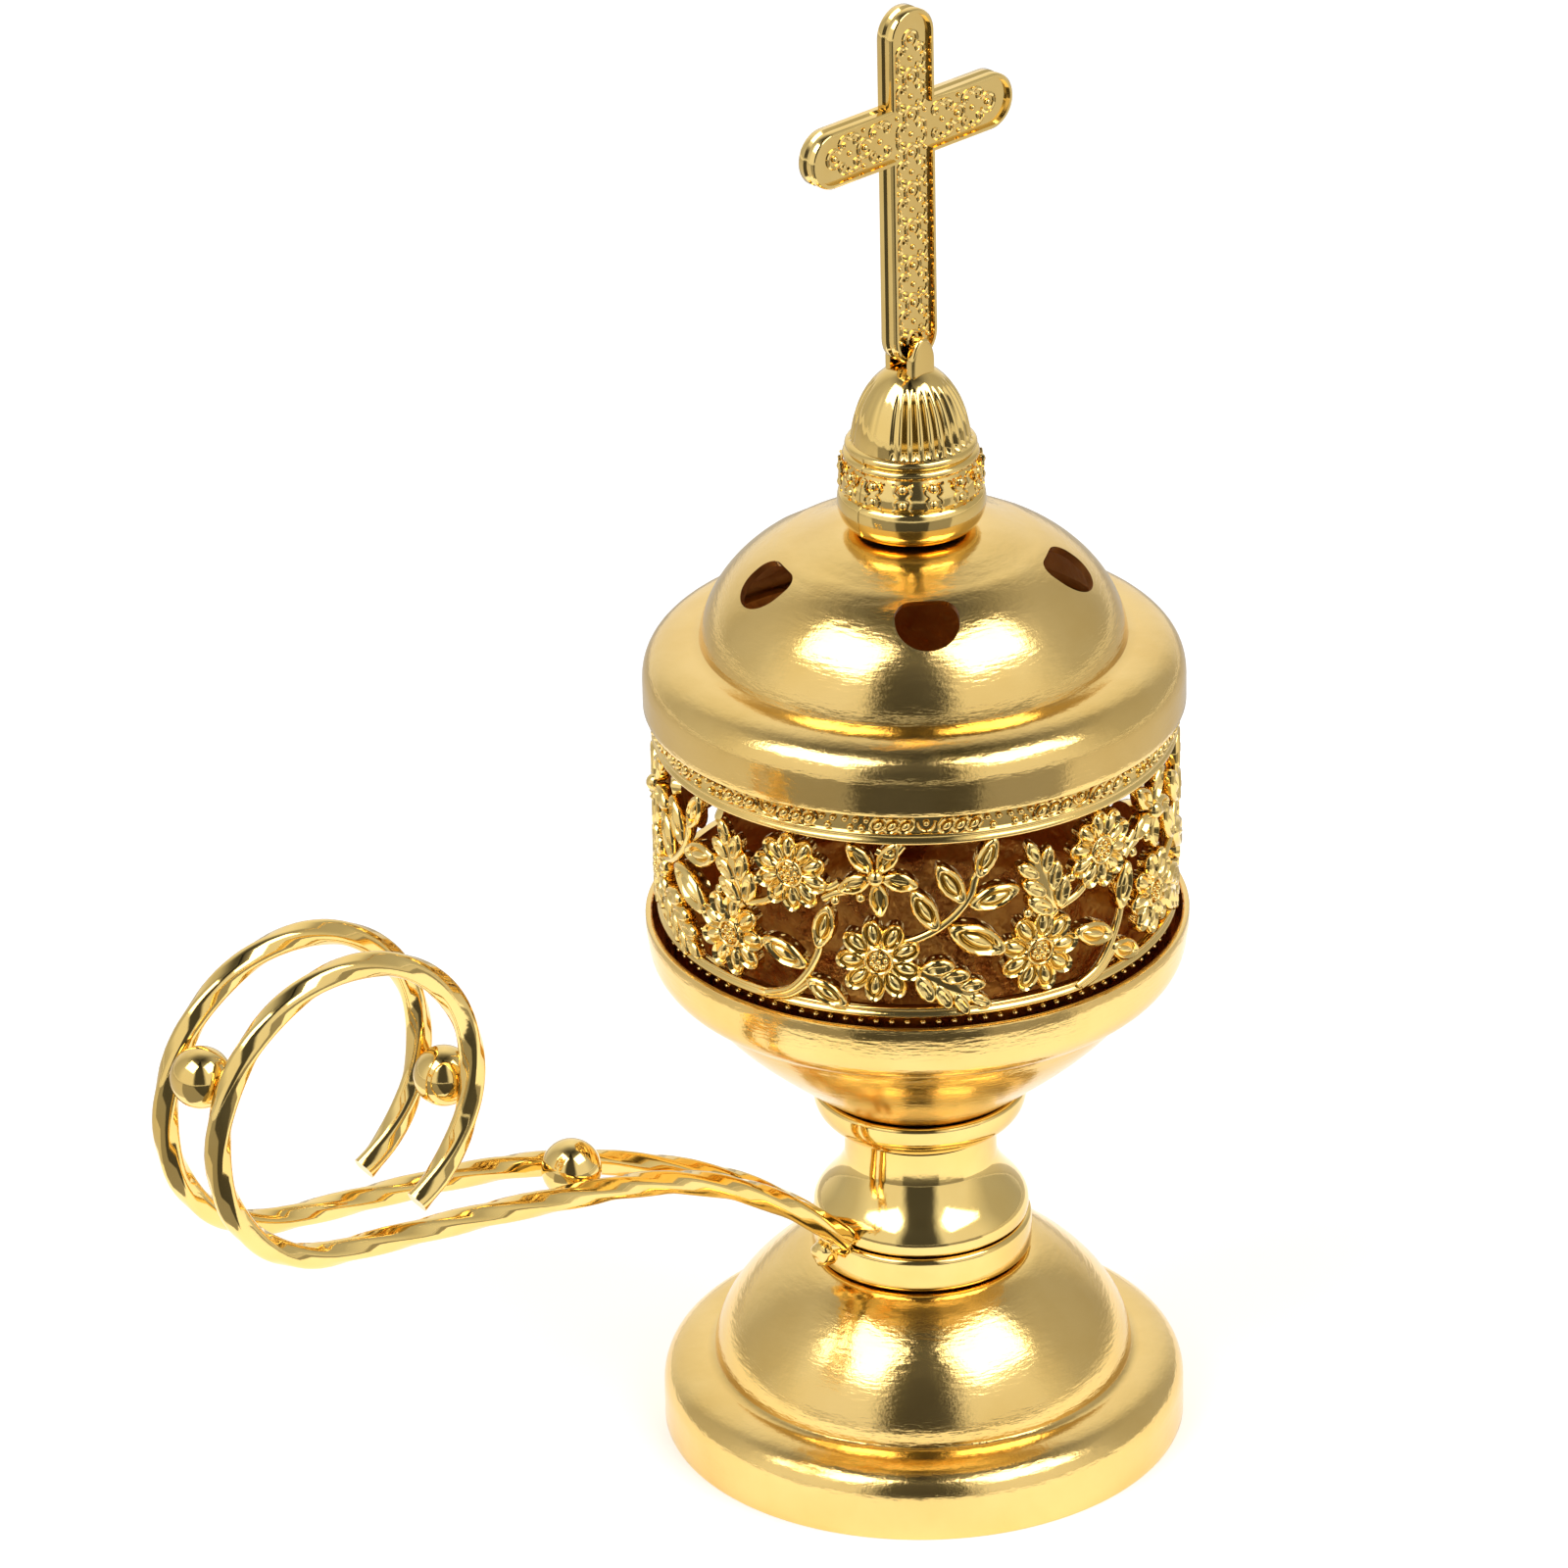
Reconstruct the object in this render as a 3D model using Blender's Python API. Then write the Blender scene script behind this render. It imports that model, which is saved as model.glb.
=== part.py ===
"""Hand censer of gilt brass: stepped foot, turned stem, shallow bowl, lift-off lid on a pierced
filigree band, fluted finial with a cross, and a side handle of two twisted square wires.

Metres, +Z up. The vessel's axis is vertical and the handle reaches along -X. The origin is the
middle of the box round the whole object, at the level that the foot stands on.
"""
import math

import bmesh
import bpy
from mathutils import Matrix, Vector
from mathutils.geometry import interpolate_bezier

for old in list(bpy.data.objects):
    bpy.data.objects.remove(old, do_unlink=True)

# ---------------------------------------------------------------- driving dimensions
GAP = 0.0003                 # clearance between pieces that touch
SHEET = 0.0010               # brass sheet of the foot, the bowl and the lid

FOOT_RADIUS = 0.0366         # foot, a two-step spinning
FOOT_SKIRT_HEIGHT = 0.0052
FOOT_STEP_HEIGHT = 0.0103
FOOT_DOME_RADIUS = 0.0293
FOOT_TOP_RADIUS = 0.0160
FOOT_HEIGHT = 0.0266

RING_RADIUS = 0.0154         # plain ring between the foot and the knop
RING_HEIGHT = 0.0051
KNOP_RADIUS = 0.0150         # bell-shaped knop with its neck
NECK_RADIUS = 0.0106
KNOP_HEIGHT = 0.0136
COLLAR_RADIUS = 0.0149       # cup that the bowl sits in
COLLAR_BASE_RADIUS = 0.0110
COLLAR_HEIGHT = 0.0060
COLLAR_RECESS = 0.0012

BOWL_RADIUS = 0.0373         # bowl, a two-step stamping
BOWL_STEP_INSET = 0.0059      # from the bowl's rim in to its step
BOWL_STEP_RADIUS = BOWL_RADIUS - BOWL_STEP_INSET
BOWL_SEAT_RADIUS = 0.0126
BOWL_STEP_RISE = 0.0184      # from the bowl's underside to its step
BOWL_HEIGHT = 0.0284         # from the bowl's underside to its rim

BAND_CLEARANCE = 0.0008      # all round, between the band and the bowl's rim
BAND_WALL = 0.0011
LIP_INSET = 0.0007           # the plain lower lip stands in from the band's face
LIP_WALL = 0.0010
BAND_ABOVE_RIM = 0.0009      # from the bowl's rim up to the band's bottom moulding
LACE_HEIGHT = 0.0305         # from that moulding up to the lid's edge
LID_OVERLAP = 0.0024         # the band's top goes up inside the lid
LACE_LOW_BORDER = 0.0020     # plain border under the windows, and above them
LACE_HIGH_BORDER = 0.0046
WINDOW_COUNT = 12            # windows in each row of the lace
WINDOW_ROWS = 2
WINDOW_OPEN_ACROSS = 0.76    # share of each window's pitch that is open
WINDOW_OPEN_UP = 0.84

LID_SKIRT_HEIGHT = 0.0038
LID_STEP_RISE = 0.0094       # lid's edge to its step
LID_STEP_INSET = 0.0083       # from the bowl's rim in to the lid's step
LID_STEP_RADIUS = BOWL_RADIUS - LID_STEP_INSET
LID_CROWN_RISE = 0.0232      # lid's edge to its crown
LID_CROWN_INSET = 0.0113      # from the lid's step in to its crown
LID_CROWN_RADIUS = LID_STEP_RADIUS - LID_CROWN_INSET
LID_HEIGHT = 0.0255
LID_SEAT_RADIUS = 0.0092     # flat that the finial stands on
LID_TURN = math.radians(5)   # the lid seats at any angle, and rests turned this far

VENT_COUNT = 5
VENT_WIDTH = 0.0086
VENT_LENGTH = 0.0076
VENT_CORNER = 0.0014
VENT_BELOW_CROWN = 0.0008    # from the crown's edge out to the vent's flat edge
VENT_SLOPE = 0.8             # run of the dome under a vent, over the vent's length
VENT_START = math.radians(15)

FINIAL_RADIUS = 0.0098
FINIAL_HEIGHT = 0.0235
FINIAL_BULGE_HEIGHT = 0.0056
FINIAL_BAND_HEIGHT = 0.0044
FINIAL_RINGS_HEIGHT = 0.0027
TONGUE_WIDTH = 0.0040
TONGUE_THICKNESS = 0.0011
TONGUE_RISE = 0.0044
TONGUE_ROOT = 0.0030         # tongue sunk in the finial's dome
TONGUE_CORNER = 0.0010

CROSS_HEIGHT = 0.0500
CROSS_SPAN = 0.0366
CROSS_BAR = 0.0078
CROSS_THICKNESS = 0.0030
CROSS_ARM_DROP = 0.0170      # from the top of the cross to the middle of its arms
CROSS_RIM = 0.0010
CROSS_FIELD_DEPTH = 0.0004

ROD_RADIUS = 0.0020          # M4 tie rod and finial screw
NUT_FLATS = 0.0070
NUT_HEIGHT = 0.0032
WASHER_RADIUS = 0.0048
FOOT_WASHER_RADIUS = 0.0075
WASHER_THICKNESS = 0.0009
ROD_END = 0.0012             # rod past each nut
SCREW_HEAD_RADIUS = 0.0036
SCREW_HEAD_HEIGHT = 0.0023
SCREW_REACH = 0.0075         # screw into the finial

WIRE_SIDE = 0.0029           # square handle wire, before twisting
WIRE_SPREAD = 0.0059         # each wire from the handle's middle plane, at the loop
PINCH_SHARE = 0.776          # the same where the wires run into the stem, over the wire's side
WIRE_PINCH = WIRE_SIDE * PINCH_SHARE
QUARTER_TWIST = 0.0112       # length of wire for a quarter turn of its twist
LOOP_RADIUS = 0.0203
LOOP_REACH = 0.1004          # loop's centre from the stem's axis
LOOP_HEIGHT = 0.0854         # loop's centre above the table
LOOP_START = math.radians(-82)
LOOP_SWEEP = math.radians(321)
TIP_ABOVE_KNOP = 0.0014      # the wires' ends above the knop's foot
ARCH_REACH = 0.0420          # point that the run heads for as it leaves the stem
ARCH_HEIGHT = 0.0600
RUN_LEAD = 0.0330            # pull of the loop's tangent on the run
PINCH_REACH = 0.0330         # the wires lie side by side up to here
SPREAD_REACH = 0.0710        # and at their full spread from here
BALL_RADIUS = 0.0041
BALL_OUTER_ANGLE = math.radians(26)
BALL_INNER_ANGLE = math.radians(192)
BALL_RUN_REACH = 0.0603
BALL_RUN_RISE = 0.0014
BALL_RINGS = 10
BRAZE_RADIUS = 0.0026
BRAZE_PROUD = 0.7            # share of the bead's radius from the ring's face out to its centre
RUN_STEPS = 40               # points along the wires' run, and round their loop
LOOP_STEPS = 44

ROUND = 40                   # sides of the large turned pieces
SMALL_ROUND = 28             # sides of the small ones
TINY_ROUND = 16              # sides of rods, washers and balls

GILT_SATIN = ((0.86, 0.68, 0.33, 1.0), 0.24)
GILT_BRIGHT = ((0.88, 0.70, 0.35, 1.0), 0.12)
BRASS_RAW = ((0.72, 0.55, 0.27, 1.0), 0.35)


# ---------------------------------------------------------------- helpers
def material(name, finish):
    """A metal with the given colour and roughness."""
    colour, roughness = finish
    made = bpy.data.materials.new(name)
    made.use_nodes = True
    shader = made.node_tree.nodes["Principled BSDF"]
    shader.inputs["Base Color"].default_value = colour
    shader.inputs["Roughness"].default_value = roughness
    shader.inputs["Metallic"].default_value = 1.0
    return made


def add_object(name, mesh, finish, parent=None, sharp=35):
    """One named sub-part with its own material, smooth apart from its edges."""
    made = bpy.data.objects.new(name, mesh)
    bpy.context.scene.collection.objects.link(made)
    made.data.materials.append(material(name + "_metal", finish))
    made.parent = parent
    if mesh.polygons:
        mesh.shade_smooth()
        mesh.set_sharp_from_angle(angle=math.radians(sharp))
    return made


def add_empty(name, parent=None, location=(0, 0, 0), turn=0.0):
    made = bpy.data.objects.new(name, None)
    bpy.context.scene.collection.objects.link(made)
    made.parent = parent
    made.location = location
    made.rotation_euler = (0, 0, turn)
    return made


def bezier(a, b, c, d, count):
    """Points of a cubic curve in the (radius, height) plane, both ends included."""
    corners = [Vector((p[0], p[1], 0.0)) for p in (a, b, c, d)]
    return [(p.x, p.y) for p in interpolate_bezier(*corners, count)]


def arc(centre, radius, start, end, count):
    """Points of an arc in the (radius, height) plane, angles in degrees."""
    angles = [math.radians(start + (end - start) * i / (count - 1)) for i in range(count)]
    return [(centre[0] + radius * math.cos(t), centre[1] + radius * math.sin(t)) for t in angles]


def height_at(outline, radius):
    """Height of an outline where it crosses a radius, found from its outermost end."""
    for (r0, z0), (r1, z1) in zip(outline, outline[1:]):
        if min(r0, r1) <= radius <= max(r0, r1) and r0 != r1:
            return z0 + (z1 - z0) * (radius - r0) / (r1 - r0)
    raise ValueError("the outline never reaches that radius")


def radius_at(outline, height):
    """Widest radius of an outline at a height."""
    found = []
    for (r0, z0), (r1, z1) in zip(outline, outline[1:]):
        if min(z0, z1) <= height <= max(z0, z1) and z0 != z1:
            found.append(r0 + (r1 - r0) * (height - z0) / (z1 - z0))
    return max(found)


def inner_outline(outline, wall):
    """The outline moved inwards by the wall, for an outline that runs from its rim to its axis."""
    moved = []
    for i, (r, z) in enumerate(outline):
        before = Vector(outline[max(i - 1, 0)])
        after = Vector(outline[min(i + 1, len(outline) - 1)])
        along = (after - before).normalized()
        side = Vector((-along.y, along.x))
        if side.x * r > 0 and abs(side.x) > abs(side.y):
            side = -side
        moved.append((r + side.x * wall, z + side.y * wall))
    return moved


def spun_mesh(name, outline, sides, closed):
    """A mesh turned about the Z axis from an outline in the (radius, height) plane."""
    bm = bmesh.new()
    points = [bm.verts.new((r, 0.0, z)) for r, z in outline]
    edges = [bm.edges.new(pair) for pair in zip(points, points[1:])]
    if closed:
        edges.append(bm.edges.new((points[-1], points[0])))
    bmesh.ops.spin(bm, geom=points + edges, cent=(0, 0, 0), axis=(0, 0, 1), dvec=(0, 0, 0),
                   angle=math.tau, steps=sides, use_merge=True, use_normal_flip=False)
    bmesh.ops.remove_doubles(bm, verts=bm.verts, dist=1e-6)
    bmesh.ops.recalc_face_normals(bm, faces=bm.faces)
    mesh = bpy.data.meshes.new(name)
    bm.to_mesh(mesh)
    bm.free()
    return mesh


def turned(name, outline, finish, parent, sides=SMALL_ROUND):
    """A solid turned piece from a closed outline."""
    return add_object(name, spun_mesh(name, outline, sides, closed=True), finish, parent)


def spun_sheet(name, outline, finish, parent):
    """A sheet piece: the outer skin spun from its outline, then given its wall inwards."""
    made = add_object(name, spun_mesh(name, outline, ROUND, closed=False), finish, parent)
    wall = made.modifiers.new("wall", "SOLIDIFY")
    wall.thickness = SHEET
    wall.offset = -1.0
    wall.use_even_offset = True
    return made


def cut(target, cutter, operation="DIFFERENCE"):
    """Boolean with a cutter that stays hidden."""
    cutter.hide_render = True
    cutter.display_type = "WIRE"
    made = target.modifiers.new(cutter.name, "BOOLEAN")
    made.operation = operation
    made.solver = "EXACT"
    made.object = cutter
    return made


def hex_nut(name, base, parent):
    """A hexagon nut that stands on the given height, chamfered, with its bore."""
    corner = NUT_FLATS / 2 / math.cos(math.pi / 6)
    bore = ROD_RADIUS + GAP
    bm = bmesh.new()
    bmesh.ops.create_circle(bm, cap_ends=False, radius=corner, segments=6)
    outer = bm.edges[:]
    inner = bmesh.ops.create_circle(bm, cap_ends=False, radius=bore, segments=TINY_ROUND)["verts"]
    inner_edges = list({e for v in inner for e in v.link_edges})
    bmesh.ops.bridge_loops(bm, edges=outer + inner_edges)
    grown = bmesh.ops.extrude_face_region(bm, geom=bm.faces[:])["geom"]
    top = [v for v in grown if isinstance(v, bmesh.types.BMVert)]
    bmesh.ops.translate(bm, verts=top, vec=(0, 0, NUT_HEIGHT))
    bmesh.ops.translate(bm, verts=bm.verts, vec=(0, 0, base))
    bmesh.ops.recalc_face_normals(bm, faces=bm.faces)
    mesh = bpy.data.meshes.new(name)
    bm.to_mesh(mesh)
    bm.free()
    return add_object(name, mesh, BRASS_RAW, parent)


def washer(name, base, radius, parent):
    """A flat washer on the given height, with the tie rod's bore."""
    bore = ROD_RADIUS + GAP
    top = base + WASHER_THICKNESS
    outline = [(bore, base), (radius, base), (radius, top), (bore, top)]
    return turned(name, outline, BRASS_RAW, parent, sides=TINY_ROUND)


# ---------------------------------------------------------------- heights up the stem
bore = ROD_RADIUS + GAP
ring_base = FOOT_HEIGHT + GAP
knop_base = ring_base + RING_HEIGHT + GAP
collar_base = knop_base + KNOP_HEIGHT + GAP
collar_floor = collar_base + COLLAR_HEIGHT - COLLAR_RECESS
bowl_base = collar_floor + GAP
bowl_step = bowl_base + BOWL_STEP_RISE
bowl_rim = bowl_base + BOWL_HEIGHT
moulding_base = bowl_rim + BAND_ABOVE_RIM
lid_edge = moulding_base + LACE_HEIGHT
lid_top = lid_edge + LID_HEIGHT
finial_base = lid_top + GAP
finial_top = finial_base + FINIAL_HEIGHT
cross_base = finial_top + GAP

vessel = add_empty("vessel_axis")
lid_axis = add_empty("lid_axis", vessel, turn=LID_TURN)
handle_axis = add_empty("handle_axis", vessel)

# ---------------------------------------------------------------- foot
foot_outline = [(bore, FOOT_HEIGHT)]
foot_outline += bezier((FOOT_TOP_RADIUS, FOOT_HEIGHT), (FOOT_TOP_RADIUS + 0.005, FOOT_HEIGHT - 0.0016),
                       (FOOT_DOME_RADIUS, FOOT_STEP_HEIGHT + 0.0066),
                       (FOOT_DOME_RADIUS, FOOT_STEP_HEIGHT), 7)
foot_outline += bezier((FOOT_DOME_RADIUS + 0.0006, FOOT_STEP_HEIGHT),
                       (FOOT_DOME_RADIUS + 0.0040, FOOT_STEP_HEIGHT - 0.0003),
                       (FOOT_RADIUS, FOOT_SKIRT_HEIGHT + 0.0040), (FOOT_RADIUS, FOOT_SKIRT_HEIGHT), 5)
foot_outline += [(FOOT_RADIUS, 0.0)]
foot = spun_sheet("foot", foot_outline, GILT_SATIN, vessel)

foot_inside = FOOT_HEIGHT - SHEET
foot_washer_base = foot_inside - GAP - WASHER_THICKNESS
foot_nut_base = foot_washer_base - GAP - NUT_HEIGHT
washer("foot_washer", foot_washer_base, FOOT_WASHER_RADIUS, vessel)
hex_nut("foot_nut", foot_nut_base, vessel)

# ---------------------------------------------------------------- stem: ring, knop, collar
ring_top = ring_base + RING_HEIGHT
ring_outline = [(bore, ring_base), (RING_RADIUS - 0.0008, ring_base)]
ring_outline += arc((RING_RADIUS - 0.0008, ring_base + 0.0008), 0.0008, -45, 0, 2)
ring_outline += arc((RING_RADIUS - 0.0008, ring_top - 0.0008), 0.0008, 0, 90, 3)
ring_outline += [(bore, ring_top)]
turned("stem_ring", ring_outline, GILT_BRIGHT, vessel)

knop_top = knop_base + KNOP_HEIGHT
knop_side = bezier((KNOP_RADIUS, knop_base + 0.0006), (KNOP_RADIUS, knop_base + 0.0036),
                   (NECK_RADIUS + 0.0010, knop_base + 0.0050),
                   (NECK_RADIUS, knop_base + 0.0092), 7)
knop_outline = [(bore, knop_base), (KNOP_RADIUS - 0.0006, knop_base)]
knop_outline += knop_side + [(NECK_RADIUS, knop_top), (bore, knop_top)]
turned("stem_knop", knop_outline, GILT_BRIGHT, vessel)

collar_rim = collar_base + COLLAR_HEIGHT
collar_outline = [(bore, collar_base), (COLLAR_BASE_RADIUS - 0.0006, collar_base)]
collar_outline += bezier((COLLAR_BASE_RADIUS, collar_base + 0.0004),
                         (COLLAR_BASE_RADIUS + 0.0022, collar_base + 0.0010),
                         (COLLAR_RADIUS, collar_base + 0.0024), (COLLAR_RADIUS, collar_rim - 0.0004), 6)
collar_outline += [(COLLAR_RADIUS - 0.0004, collar_rim), (COLLAR_RADIUS - 0.0008, collar_rim),
                   (BOWL_SEAT_RADIUS + 0.0006, collar_floor), (bore, collar_floor)]
turned("stem_collar", collar_outline, GILT_BRIGHT, vessel)

# ---------------------------------------------------------------- bowl
bowl_outline = [(BOWL_RADIUS, bowl_rim), (BOWL_RADIUS, bowl_rim - 0.0015)]
bowl_outline += bezier((BOWL_RADIUS - 0.0003, bowl_step + 0.0060),
                       (BOWL_RADIUS - 0.0005, bowl_step + 0.0028),
                       (BOWL_STEP_RADIUS + 0.0032, bowl_step + 0.0010),
                       (BOWL_STEP_RADIUS + 0.0004, bowl_step), 5)
bowl_outline += bezier((BOWL_STEP_RADIUS, bowl_step - 0.0002),
                       (BOWL_STEP_RADIUS - 0.0034, bowl_base + 0.0116),
                       (BOWL_SEAT_RADIUS + 0.0050, bowl_base + 0.0042),
                       (BOWL_SEAT_RADIUS, bowl_base), 8)
bowl_outline += [(bore, bowl_base)]
bowl = spun_sheet("bowl", bowl_outline, GILT_SATIN, vessel)

bowl_washer_base = bowl_base + SHEET + GAP
bowl_nut_base = bowl_washer_base + WASHER_THICKNESS + GAP
washer("bowl_washer", bowl_washer_base, WASHER_RADIUS, vessel)
hex_nut("bowl_nut", bowl_nut_base, vessel)

# ---------------------------------------------------------------- tie rod through the stem
rod_foot = foot_nut_base - ROD_END
rod_top = bowl_nut_base + NUT_HEIGHT + ROD_END
rod_chamfer = 0.0004
rod_outline = [(0.0, rod_foot), (ROD_RADIUS - rod_chamfer, rod_foot), (ROD_RADIUS, rod_foot + rod_chamfer),
               (ROD_RADIUS, rod_top - rod_chamfer), (ROD_RADIUS - rod_chamfer, rod_top), (0.0, rod_top)]
add_object("tie_rod", spun_mesh("tie_rod", rod_outline, TINY_ROUND, closed=False), BRASS_RAW, vessel)

# ---------------------------------------------------------------- filigree band
band_radius = BOWL_RADIUS - SHEET - BAND_CLEARANCE
lip_radius = band_radius - LIP_INSET
band_top = lid_edge + LID_OVERLAP
bowl_inside = inner_outline(bowl_outline, SHEET)
lip_base = height_at(bowl_inside, lip_radius + GAP) + GAP
band_outline = [
    (lip_radius - LIP_WALL, lip_base), (lip_radius, lip_base), (lip_radius, moulding_base),
    (band_radius, moulding_base + 0.0003), (band_radius, band_top), (band_radius - BAND_WALL, band_top),
    (band_radius - BAND_WALL, moulding_base + 0.0006), (lip_radius - LIP_WALL, moulding_base - 0.0003),
]
band = turned("filigree_band", band_outline, GILT_BRIGHT, lid_axis, sides=ROUND)

lace_base = moulding_base + LACE_LOW_BORDER
lace_top = lid_edge - LACE_HIGH_BORDER
row_height = (lace_top - lace_base) / WINDOW_ROWS
window_pitch = math.tau * band_radius / WINDOW_COUNT
window_half_width = window_pitch * WINDOW_OPEN_ACROSS / 2
window_half_height = row_height * WINDOW_OPEN_UP / 2


def lace_windows():
    """Hexagonal prisms that point outwards, in staggered rows round the band."""
    bm = bmesh.new()
    for row in range(WINDOW_ROWS):
        height = lace_base + row_height * (row + 0.5)
        for i in range(WINDOW_COUNT):
            made = bmesh.ops.create_cone(bm, cap_ends=True, segments=6, radius1=1.0, radius2=1.0,
                                         depth=BAND_WALL * 6)["verts"]
            bmesh.ops.scale(bm, verts=made, vec=(window_half_width, window_half_height, 1.0))
            bmesh.ops.rotate(bm, verts=made, cent=(0, 0, 0), matrix=Matrix.Rotation(math.pi / 2, 3, "X"))
            bmesh.ops.translate(bm, verts=made, vec=(0, -band_radius, height))
            angle = math.tau * (i + 0.5 * (row % 2)) / WINDOW_COUNT
            bmesh.ops.rotate(bm, verts=made, cent=(0, 0, 0), matrix=Matrix.Rotation(angle, 3, "Z"))
    mesh = bpy.data.meshes.new("lace_window_cutter")
    bm.to_mesh(mesh)
    bm.free()
    return add_object("lace_window_cutter", mesh, BRASS_RAW, lid_axis)


cut(band, lace_windows())

# ---------------------------------------------------------------- lid
lid_radius = band_radius + GAP + SHEET
lid_step = lid_edge + LID_STEP_RISE
lid_crown = lid_edge + LID_CROWN_RISE
lid_outline = [(bore, lid_top), (LID_SEAT_RADIUS, lid_top)]
lid_outline += bezier((LID_SEAT_RADIUS + 0.0006, lid_top), (LID_SEAT_RADIUS + 0.0035, lid_top - 0.0004),
                      (LID_CROWN_RADIUS - 0.0030, lid_crown + 0.0008), (LID_CROWN_RADIUS, lid_crown), 3)
lid_outline += bezier((LID_CROWN_RADIUS + 0.0006, lid_crown - 0.0003),
                      (LID_CROWN_RADIUS + 0.0070, lid_crown - 0.0032),
                      (LID_STEP_RADIUS - 0.0005, lid_step + 0.0050), (LID_STEP_RADIUS, lid_step), 7)
lid_outline += bezier((LID_STEP_RADIUS + 0.0006, lid_step), (LID_STEP_RADIUS + 0.0050, lid_step - 0.0002),
                      (lid_radius, lid_edge + LID_SKIRT_HEIGHT + 0.0038),
                      (lid_radius, lid_edge + LID_SKIRT_HEIGHT), 5)
lid_outline += [(lid_radius, lid_edge)]
lid = spun_sheet("lid_dome", lid_outline, GILT_SATIN, lid_axis)


def vent_cutter():
    """Shield-shaped prisms, flat edge uppermost, each square to the dome where it cuts."""
    half = VENT_WIDTH / 2
    top = VENT_LENGTH / 2
    outline = arc((0.0, half - top), half, 180, 360, 7)
    outline += arc((half - VENT_CORNER, top - VENT_CORNER), VENT_CORNER, 0, 90, 3)
    outline += arc((VENT_CORNER - half, top - VENT_CORNER), VENT_CORNER, 90, 180, 3)
    top_radius = LID_CROWN_RADIUS + VENT_BELOW_CROWN
    low_radius = top_radius + VENT_LENGTH * VENT_SLOPE
    top_point = Vector((top_radius, height_at(lid_outline, top_radius)))
    low_point = Vector((low_radius, height_at(lid_outline, low_radius)))
    middle = (top_point + low_point) / 2
    slope = math.atan2(top_point.y - low_point.y, low_point.x - top_point.x)
    bm = bmesh.new()
    for i in range(VENT_COUNT):
        rim = [bm.verts.new((x, y, -VENT_LENGTH / 2)) for x, y in outline]
        face = bm.faces.new(rim)
        grown = bmesh.ops.extrude_face_region(bm, geom=[face])["geom"]
        top = [v for v in grown if isinstance(v, bmesh.types.BMVert)]
        bmesh.ops.translate(bm, verts=top, vec=(0, 0, VENT_LENGTH))
        body = rim + top
        bmesh.ops.rotate(bm, verts=body, cent=(0, 0, 0), matrix=Matrix.Rotation(slope, 3, "X"))
        bmesh.ops.translate(bm, verts=body, vec=(0, -middle.x, middle.y))
        turn = VENT_START + math.pi / 2 + math.tau * i / VENT_COUNT
        bmesh.ops.rotate(bm, verts=body, cent=(0, 0, 0), matrix=Matrix.Rotation(turn, 3, "Z"))
    bmesh.ops.recalc_face_normals(bm, faces=bm.faces)
    mesh = bpy.data.meshes.new("vent_cutter")
    bm.to_mesh(mesh)
    bm.free()
    return add_object("vent_cutter", mesh, BRASS_RAW, lid_axis)


cut(lid, vent_cutter())

# ---------------------------------------------------------------- finial, with its screw
groove = finial_base + FINIAL_BULGE_HEIGHT
band_high = groove + FINIAL_BAND_HEIGHT
dome_base = band_high + FINIAL_RINGS_HEIGHT
screw_bore = finial_base + SCREW_REACH + GAP
finial_outline = [(0.0, screw_bore), (bore, screw_bore), (bore, finial_base),
                  (FINIAL_RADIUS * 0.78, finial_base)]
finial_outline += bezier((FINIAL_RADIUS * 0.86, finial_base + 0.0004),
                         (FINIAL_RADIUS * 1.03, finial_base + 0.0018),
                         (FINIAL_RADIUS * 1.04, finial_base + 0.0038), (FINIAL_RADIUS, groove - 0.0004), 4)
finial_outline += [(FINIAL_RADIUS - 0.0004, groove)]
finial_outline += bezier((FINIAL_RADIUS - 0.0001, groove + 0.0004),
                         (FINIAL_RADIUS - 0.0001, groove + 0.0020),
                         (FINIAL_RADIUS - 0.0006, band_high - 0.0010), (FINIAL_RADIUS - 0.0011, band_high), 3)
for step in range(2):
    middle = (FINIAL_RADIUS - 0.0012 - 0.0003 * step, band_high + 0.0007 + 0.0013 * step)
    finial_outline += arc(middle, 0.0006, -60, 60, 3)
finial_outline += bezier((FINIAL_RADIUS - 0.0016, dome_base), (FINIAL_RADIUS - 0.0021, dome_base + 0.0050),
                         (FINIAL_RADIUS - 0.0047, finial_top - 0.0004), (0.0, finial_top), 7)
finial = add_object("finial", spun_mesh("finial", finial_outline, SMALL_ROUND, closed=False),
                    GILT_BRIGHT, lid_axis)


def tongue(name, side):
    """A flat lug that rises from the finial's dome on one face of the cross."""
    bottom = finial_top - TONGUE_ROOT
    height = TONGUE_RISE + TONGUE_ROOT
    bm = bmesh.new()
    bmesh.ops.create_cube(bm, size=1.0)
    bmesh.ops.scale(bm, verts=bm.verts, vec=(TONGUE_WIDTH, TONGUE_THICKNESS, height))
    upper = [e for e in bm.edges if abs(e.verts[0].co.z - e.verts[1].co.z) < 1e-6
             and e.verts[0].co.z > 0 and abs(e.verts[0].co.x - e.verts[1].co.x) < 1e-6]
    bmesh.ops.bevel(bm, geom=upper, offset=TONGUE_CORNER, offset_type="OFFSET", segments=3, profile=0.5,
                    affect="EDGES", material=-1)
    reach = CROSS_THICKNESS / 2 + GAP + TONGUE_THICKNESS / 2
    bmesh.ops.translate(bm, verts=bm.verts, vec=(0, side * reach, bottom + height / 2))
    mesh = bpy.data.meshes.new(name)
    bm.to_mesh(mesh)
    bm.free()
    return add_object(name, mesh, GILT_BRIGHT, lid_axis)


cut(finial, tongue("tongue_front", -1), "UNION")
cut(finial, tongue("tongue_rear", 1), "UNION")

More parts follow.
